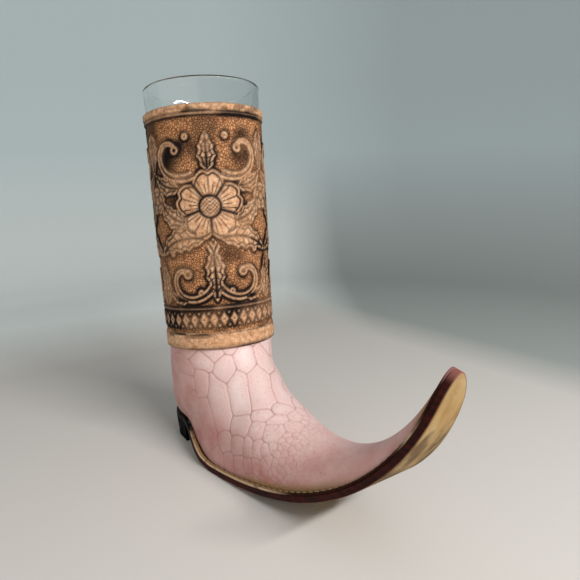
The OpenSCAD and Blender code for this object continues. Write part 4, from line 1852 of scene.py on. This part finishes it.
@dataclass(frozen=True)
class Welt:
    """Strip of leather beside the upper, from the heel's breast round the toe, with its stitches."""

    last: Last
    tuck: float = 0.9
    step: float = 0.3
    tip_steps: int = 40
    tooth_pitch: float = 1.5
    thread_d: float = 0.6
    pitch: float = 3.0
    stitch_len: float = 2.2
    toe_end: float = 10.0
    black_len: float = 7.0
    black_fade: float = 4.0

    def black(self, along: Array) -> Array:
        """Black dye of the heel, which fades out along the waist."""
        return 1.0 - ramp(along, self.last.breast_u + self.black_len, self.black_fade)

    def build(self) -> None:
        """Carries the strip's section along the sole's edge and adds it."""
        last = self.last
        one_side = last.outline(last.breast_u, self.step, self.tip_steps)
        along = np.concatenate([one_side, one_side[-2::-1]])
        side = np.concatenate([-np.ones(len(one_side)), np.ones(len(one_side) - 1)])
        inner = along - last.flange * smooth(1.0 - (last.curl_len - along) / last.toe_round)
        outer_half = last.sole_half(along)
        inner_half = np.maximum(last.upper_half(inner) - self.tuck, 0.0)
        low = last.upper_base
        high = last.welt_top
        section = np.array(
            [
                (0.02, low, 1.0, 0.6), (0.0, low + 0.12, 1.0, 0.0), (0.0, low + 0.35, 1.0, 0.0),
                (0.0, high - 0.14, 1.0, 0.0), (0.03, high - 0.04, 1.0, 0.0), (0.08, high, 0.5, 0.0),
                (0.17, high, 0.1, 0.0), (0.26, high - 0.02, 0.0, 0.0), (0.36, high - 0.06, 0.0, 0.0),
                (0.46, high - 0.02, 0.0, 0.1), (0.56, high - 0.1, 0.0, 0.6), (0.66, high - 0.22, 0.0, 1.0),
                (0.85, high - 0.1, 0.0, 1.0), (1.0, high - 0.05, 0.0, 1.0), (1.0, low, 0.0, 1.0),
            ]
        )
        share = section[:, 0]
        run = summed(np.hypot(np.diff(along), np.diff(side * outer_half)))
        tooth = 0.5 + 0.5 * np.cos(2 * math.pi * run / self.tooth_pitch)
        on_top = bell(share - 0.32, 0.14)
        height = section[:, 1] + 0.07 * tooth[:, None] * on_top
        u = lerp(along[:, None], inner[:, None], share)
        y = side[:, None] * lerp(outer_half[:, None], inner_half[:, None], share)
        points = last.place(u, y, height)
        points = points + 0.05 * layered_noise(points, 2.5, 81)[..., None] * np.array([0.0, 0.0, 1.0])
        dull = ramp(u, 38.0, 16.0) * (1.0 - 0.8 * bell(u - 108.0, 4.0))
        fields = {
            "rim": np.broadcast_to(section[:, 2], u.shape),
            "corner": np.maximum(section[:, 3], dull),
            "tip": ramp(u, last.curl_len - 4.5, 4.0),
            "black": self.black(u),
        }
        mesh = make_mesh("welt_strip", Surface(points, fields=fields))
        add_piece(mesh, WeltLeather().material(), Body.BOOT, Slot.WELT, "welt")

    def stitch(self, material: Material) -> None:
        """Adds the running stitches along the welt.

        Args:
            material: Finish of the thread.
        """
        last = self.last
        first = last.breast_u + self.pitch
        count = int((last.curl_len - self.toe_end - first) // self.pitch) + 1
        along = np.tile(first + self.pitch * np.arange(count), 2)
        side = np.repeat([-1.0, 1.0], count)
        ends = []
        for distance in (along, along + self.stitch_len):
            y = side * (last.sole_half(distance) - last.flange / 2)
            ends.append(last.place(distance, y, last.welt_top - 0.05))
        slope = last.slope(along + self.stitch_len / 2)
        out = stacked(-np.sin(slope), 0.0, np.cos(slope))
        threads = Threads(self.thread_d, ends[0], ends[1], out, self.black(along))
        add_piece(threads.mesh("welt_thread"), material, Body.BOOT, Slot.THREAD, "welt_stitches")


@dataclass(frozen=True)
class Outsole:
    """Sole leather from heel to curled tip, with a layered edge."""

    last: Last
    round_r: float = 0.35
    layer_depth: float = 0.07
    layer_heights: tuple[float, ...] = (0.62, 1.1, 1.62)
    edge_points: int = 19
    tread_points: int = 25
    step: float = 0.55
    end_steps: int = 36

    def build(self) -> None:
        """Carries the sole's section along its line and adds it."""
        last = self.last
        heel = np.linspace(0.0, math.pi / 2, self.end_steps)[:-1]
        heel_u = last.back_u + last.heel_w / 2 * (1.0 - np.cos(heel))
        rest_u = last.outline(last.heel_round_x - last.curl_x, self.step, self.end_steps)
        along = np.concatenate([heel_u, rest_u])
        half = last.sole_half(along)
        slope = np.gradient(half, along + 1e-9 * np.arange(len(along)))
        length = np.hypot(slope, 1.0)
        out_u = -slope / length
        out_y = 1.0 / length
        height = np.linspace(0.0, last.sole_t, self.edge_points)
        grooves = sum(bell(height - at, 0.11) for at in self.layer_heights)
        inset = rounded(np.minimum(height, last.sole_t - height), self.round_r) + self.layer_depth * grooves
        tread = np.linspace(-1.0, 1.0, self.tread_points)[1:-1]
        flat = np.zeros_like(tread)
        edge = np.ones_like(height)
        ring_height = np.concatenate([height[::-1], flat, height, flat + last.sole_t])
        ring_inset = np.concatenate([inset[::-1], flat + inset[0], inset, flat + inset[-1]])
        ring_side = np.concatenate([-edge, tread, edge, tread[::-1]])
        layer = np.minimum(np.concatenate([grooves[::-1], flat, grooves, flat]), 1.0)
        face = np.concatenate([0.0 * edge, flat + 1.0, 0.0 * edge, flat])
        u = along[:, None] - ring_inset * out_u[:, None]
        y = ring_side * np.maximum(half[:, None] - ring_inset * out_y[:, None], 0.0)
        points = last.place(u, y, ring_height)
        rough = 0.06 * layered_noise(points, 3.0, 91)
        points[..., 1] += rough * (np.abs(ring_side) >= 1.0) * np.sign(y)
        low_edge = bell(ring_height, 0.12) * (face == 0.0)
        side = np.clip(1.0 - face - 0.55 * low_edge, 0.0, 1.0)
        fields = {
            "side": np.broadcast_to(side, u.shape),
            "layer": np.broadcast_to(layer, u.shape),
            "black": (1.0 - ramp(u, last.breast_u + 6.0, 7.0)) * (side > 0.4),
            "tip": ramp(u, last.curl_len - 3.2, 2.6) * np.where(side > 0.4, 0.7, 0.35),
            "scuff": ramp(u, 14.0, 22.0) * (1.0 - 0.8 * ramp(u, 110.0, 10.0)),
        }
        mesh = make_mesh("leather_outsole", Surface(points, fields=fields))
        add_piece(mesh, SoleLeather().material(), Body.BOOT, Slot.SOLE, "outsole")


@dataclass(frozen=True)
class Heel:
    """Black heel: a block of stacked lifts on a rubber cap."""

    last: Last
    cap_t: float = 2.0
    draw: float = 0.8
    corner_r: float = 0.8
    edge_r: float = 0.3
    lifts: int = 3
    block_seed: int = 102
    cap_seed: int = 100

    def outline(self) -> tuple[Array, Array]:
        """Outline of the heel seen from above: round behind, straight at the sides and at the breast.

        Returns:
            Its points, and the outward direction at each.
        """
        last = self.last
        angle = np.linspace(0.0, math.pi / 2, 40)
        round_x = last.back_x + last.heel_w / 2 * (1.0 - np.cos(angle))
        round_y = last.sole_half(round_x - last.curl_x)
        straight_x = np.linspace(last.heel_round_x, last.breast_x - self.corner_r, 10)[1:]
        straight_y = last.sole_half(straight_x - last.curl_x)
        turn = np.linspace(math.pi / 2, 0.0, 7)[1:]
        corner_x = last.breast_x - self.corner_r * (1.0 - np.cos(turn))
        corner_y = straight_y[-1] - self.corner_r * (1.0 - np.sin(turn))
        face_y = np.linspace(corner_y[-1], 0.0, 12)[1:]
        x = np.concatenate([round_x, straight_x, corner_x, np.full(len(face_y), last.breast_x)])
        y = np.concatenate([round_y, straight_y, corner_y, face_y])
        points = np.vstack([stacked(x, y), stacked(x, -y)[-2:0:-1]])
        way = np.roll(points, -1, axis=0) - np.roll(points, 1, axis=0)
        out = stacked(-way[:, 1], way[:, 0])
        return points, unit(out)

    def block(self, seed: int, low: float, high: float, draws: Pair, lifts: int) -> Surface:
        """Stack of lifts between two heights, drawn in at its foot.

        Args:
            seed: Which random field frays its sides.
            low: Height of its lower face.
            high: Height of its upper face.
            draws: How far it is drawn in at its lower and upper face.
            lifts: Number of layers.

        Returns:
            The closed surface.
        """
        points, out = self.outline()
        height = np.linspace(low, high, 8 * lifts + 9)
        from_face = np.minimum(height - low, high - height)
        inset = rounded(from_face, self.edge_r)
        share = (height - low) / (high - low)
        for lift in range(1, lifts):
            inset = inset + 0.1 * bell(height - lerp(low, high, lift / lifts), 0.14)
        inset = inset + lerp(draws[0], draws[1], share)
        flat = points[None] - out[None] * inset[:, None, None]
        grid = stacked(flat[..., 0], flat[..., 1], height[:, None])
        fray = 0.09 * layered_noise(grid, 1.6, seed)
        grid[..., :2] += out[None] * fray[..., None] * smooth(from_face / 0.4)[:, None, None]
        inner = grid[[0, -1]].copy()
        middle = grid[..., :2].mean(axis=(0, 1))
        inner[..., :2] = lerp(middle, inner[..., :2], 0.5)
        grid = np.vstack([inner[:1], grid, inner[1:]])
        rubbed = np.concatenate([[0.3], 0.35 + 0.65 * bell(from_face, 0.5), [0.3]])
        return Surface(grid, fields={"rubbed": np.broadcast_to(rubbed[:, None], grid.shape[:2])})

    def build(self) -> None:
        """Adds the block and the cap."""
        last = self.last
        low = self.cap_t + last.glue
        block = self.block(self.block_seed, low, last.heel_h - last.glue, (self.draw, 0.0), self.lifts)
        finish = BlackedHeel("blacked_heel").material()
        add_piece(make_mesh("stacked_heel", block), finish, Body.BOOT, Slot.HEEL, "heel_block")
        cap = self.block(self.cap_seed, 0.0, self.cap_t, (self.draw, self.draw), 1)
        rubber = BlackedHeel("heel_rubber", srgb(7, 7, 7), srgb(30, 27, 25), 0.7).material()
        add_piece(make_mesh("rubber_cap", cap), rubber, Body.BOOT, Slot.RUBBER, "heel_cap")


@dataclass(frozen=True)
class Inside:
    """Pieces that the leather hides: they keep their construction shapes and get their own finishes."""

    def dress(self, nodes: dict[str, bpy.types.Object]) -> None:
        """Gives each hidden piece its material.

        Args:
            nodes: The construction's objects by name.
        """
        finishes = {
            "foot_core": Timber("core_wood", srgb(206, 168, 116), srgb(150, 108, 64), 3.0, (0.12, 1.0, 1.0)),
            "glass_seat": Timber("seat_wood", srgb(186, 142, 92), srgb(120, 80, 44), 1.6, (1.0, 1.0, 0.15)),
            "insole": Timber("insole_board", srgb(196, 164, 120), srgb(158, 126, 84), 0.7, (0.6, 0.6, 1.0)),
            "heel_tacks": TackSteel(),
        }
        for name, finish in finishes.items():
            materials = nodes[name].data.materials
            materials.clear()
            materials.append(finish.material())
            LOG.info("%s: keeps its shape", name)


def posed(right: Array, up: Array, back: Array, place: Place) -> Matrix:
    """Matrix of a lamp or camera, by its own three directions and its place in millimetres."""
    rows = stacked(right, up, back, np.array(place) * MM).tolist()
    return Matrix([*rows, [0.0, 0.0, 0.0, 1.0]])


@dataclass(frozen=True)
class Lamp:
    """Flat lamp that faces a target: millimetres, watts, and the tilt of its right end in degrees."""

    name: str
    place: Place
    size: Pair
    power: float
    tilt: float = 0.0
    target: Place = (30.0, 0.0, 60.0)

    def build(self) -> None:
        """Adds the lamp."""
        data = bpy.data.lights.new(self.name, "AREA")
        data.shape = "RECTANGLE"
        data.size = self.size[0] * MM
        data.size_y = self.size[1] * MM
        data.energy = self.power
        lamp = bpy.data.objects.new(self.name, data)
        bpy.context.scene.collection.objects.link(lamp)
        back = unit(np.subtract(self.place, self.target))
        right = unit(np.cross([0.0, 0.0, 1.0], back))
        angle = math.radians(self.tilt)
        right = right * math.cos(angle) + np.cross(back, right) * math.sin(angle)
        lamp.matrix_world = posed(right, np.cross(back, right), back, self.place)


@dataclass(frozen=True)
class Stage:
    """Pale table that sweeps up into a pale wall, with a key lamp, a broad fill and a thin tube.

    The backdrop starts beyond the heel and behind the boot, all in metres, with painted light on its left and
    painted shade on its right, darkest at its right foot. Its foot and the light that it throws back change
    over shares of the sweep.
    """

    table_r: float = 420.0
    sweep_r: float = 260.0
    wall_h: float = 500.0
    middle_x: float = 50.0
    sides: int = 96
    table: Colour = srgb(212, 206, 199)
    # Painted light on the backdrop's left, painted shade on its right.
    left_foot_painted_light: Colour = srgb(250, 253, 248)
    right_foot_painted_shade: Colour = srgb(166, 170, 166)
    left_wall_painted_light: Colour = srgb(226, 239, 239)
    right_wall_painted_shade: Colour = srgb(196, 208, 209)
    table_bounce: Colour = srgb(192, 186, 179)
    wall_bounce: Colour = srgb(156, 165, 165)
    rightwards: Place = (0.5818, 0.8133, 0.0)
    foot_fall: Pair = (0.53, 0.6)
    wall_fall: Pair = (0.42, 0.7)
    foot_climb: Pair = (0.0, 0.6)
    bounce_climb: Pair = (0.0, 0.5)
    beyond: Pair = (0.12, 0.24)
    behind: Pair = (0.16, 0.21)
    room: Colour = (0.86, 0.89, 0.92, 1.0)
    room_strength: float = 0.5
    lamps: tuple[Lamp, ...] = (
        Lamp("key", (476.0, 62.0, 367.0), (330.0, 24.0), 2.75),
        Lamp("fill", (140.0, -450.0, 175.0), (800.0, 500.0), 0.6),
        Lamp("side_glint", (193.0, -424.0, 212.0), (266.0, 1.6), 0.08, 3.8),
    )

    def build(self) -> None:
        """Adds the table, the lamps and the light of the room."""
        turn = np.linspace(0.0, math.pi / 2, 24)
        radius = np.concatenate([[1.0, self.table_r * 0.5], self.table_r + self.sweep_r * np.sin(turn)])
        height = np.concatenate([[0.0, 0.0], self.sweep_r * (1.0 - np.cos(turn))])
        radius = np.append(radius, radius[-1] + 1.0)[:, None]
        height = np.append(height, height[-1] + self.wall_h)[:, None]
        angle = circle(self.sides)
        points = stacked(self.middle_x + radius * np.cos(angle), radius * np.sin(angle), height)
        mesh = make_mesh("table", Surface(points, cap_rows=False))
        mesh.flip_normals()
        table = bpy.data.objects.new("table", mesh)
        bpy.context.scene.collection.objects.link(table)
        mesh.materials.append(self.cloth())
        for lamp in self.lamps:
            lamp.build()
        world = bpy.data.worlds.new("room")
        bpy.context.scene.world = world
        world.use_nodes = True
        background = world.node_tree.nodes["Background"]
        background.inputs["Color"].default_value = self.room
        background.inputs["Strength"].default_value = self.room_strength

    def cloth(self) -> Material:
        """Matt surface that goes from the table's colour to the wall's, with painted light on its left and
        painted shade on its right.

        Returns:
            The material.
        """
        graph = Graph("pale_table")
        place = graph.node("SeparateXYZ", Vector=graph.place).outputs
        share = graph.math("DIVIDE", place["Z"], self.sweep_r * MM)
        aside = graph.node("VectorMath")
        aside.operation = "DOT_PRODUCT"
        graph.feed(aside.inputs[0], graph.place)
        graph.feed(aside.inputs[1], self.rightwards)
        across = graph.math("ADD", aside.outputs["Value"], 0.5)
        # The foot and the wall carry painted light on the left and painted shade on the right, darkest at the
        # right foot.
        foot = graph.mix(graph.over(across, self.foot_fall), self.left_foot_painted_light, self.right_foot_painted_shade)
        wall = graph.mix(graph.over(across, self.wall_fall), self.left_wall_painted_light, self.right_wall_painted_shade)
        wall = graph.mix(graph.over(share, self.foot_climb), foot, wall)
        beyond = graph.over(graph.times(place["X"], -1.0), self.beyond)
        behind = graph.math("MAXIMUM", graph.over(place["Y"], self.behind), beyond)
        ray = graph.node("LightPath").outputs
        seen = graph.math("MAXIMUM", ray["Is Glossy Ray"], ray["Is Transmission Ray"])
        seen = graph.math("MAXIMUM", seen, ray["Is Camera Ray"])
        bounce = graph.mix(graph.over(share, self.bounce_climb), self.table_bounce, self.wall_bounce)
        colour = graph.mix(seen, bounce, graph.mix(behind, self.table, wall))
        graph.shade(Base_Color=colour, Roughness=0.9, Specular_IOR_Level=0.1)
        return graph.material


@dataclass(frozen=True)
class PhotoCamera:
    """Camera of the photograph: where it stands, where it looks and how it is tilted."""

    place: Place = (208.34, -103.83, 106.46)
    heading: Pair = (-0.8133, 0.5818)
    pitch: float = 11.14
    roll: float = -0.61
    focal_pixels: float = 537.4
    frame_pixels: float = 580.0
    sensor: float = 36.0

    def build(self) -> None:
        """Adds the camera and makes it the scene's own."""
        data = bpy.data.cameras.new("photo_camera")
        data.sensor_width = self.sensor
        data.lens = self.sensor * self.focal_pixels / self.frame_pixels
        data.clip_start = 0.01
        data.clip_end = 20.0
        camera = bpy.data.objects.new("photo_camera", data)
        bpy.context.scene.collection.objects.link(camera)
        pitch = math.radians(self.pitch)
        roll = math.radians(self.roll)
        level = unit(np.array([self.heading[0], self.heading[1], 0.0]))
        look = level * math.cos(pitch) - np.array([0.0, 0.0, math.sin(pitch)])
        right = np.array([level[1], -level[0], 0.0])
        down = np.cross(look, right)
        tilted_right = right * math.cos(roll) - down * math.sin(roll)
        tilted_down = right * math.sin(roll) + down * math.cos(roll)
        camera.matrix_world = posed(tilted_right, -tilted_down, -look, self.place)
        bpy.context.scene.camera = camera


def main() -> None:
    """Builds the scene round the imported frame."""
    logging.basicConfig(level=logging.INFO, format="%(name)s %(message)s")
    bpy.ops.wm.read_factory_settings(use_empty=True)
    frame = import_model()
    bpy.context.scene.view_settings.view_transform = "Standard"
    PhotoCamera().build()
    Stage().build()
    last = Last()
    pale_thread = WaxedThread("welt_thread", srgb(172, 140, 88), srgb(104, 76, 40)).material()
    tan_thread = WaxedThread("seam_thread", srgb(190, 150, 104), srgb(104, 70, 40)).material()
    pink_thread = WaxedThread("heel_thread", srgb(214, 166, 160), srgb(150, 98, 96)).material()
    Tumbler(last).build()
    shaft = Shaft(last)
    shaft.build()
    shaft.stitch(tan_thread)
    upper = Upper(last)
    upper.build()
    upper.stitch(pink_thread)
    welt = Welt(last)
    welt.build()
    welt.stitch(pale_thread)
    Outsole(last).build()
    Heel(last).build()
    Inside().dress(frame["nodes"])


if __name__ == "__main__":
    main()
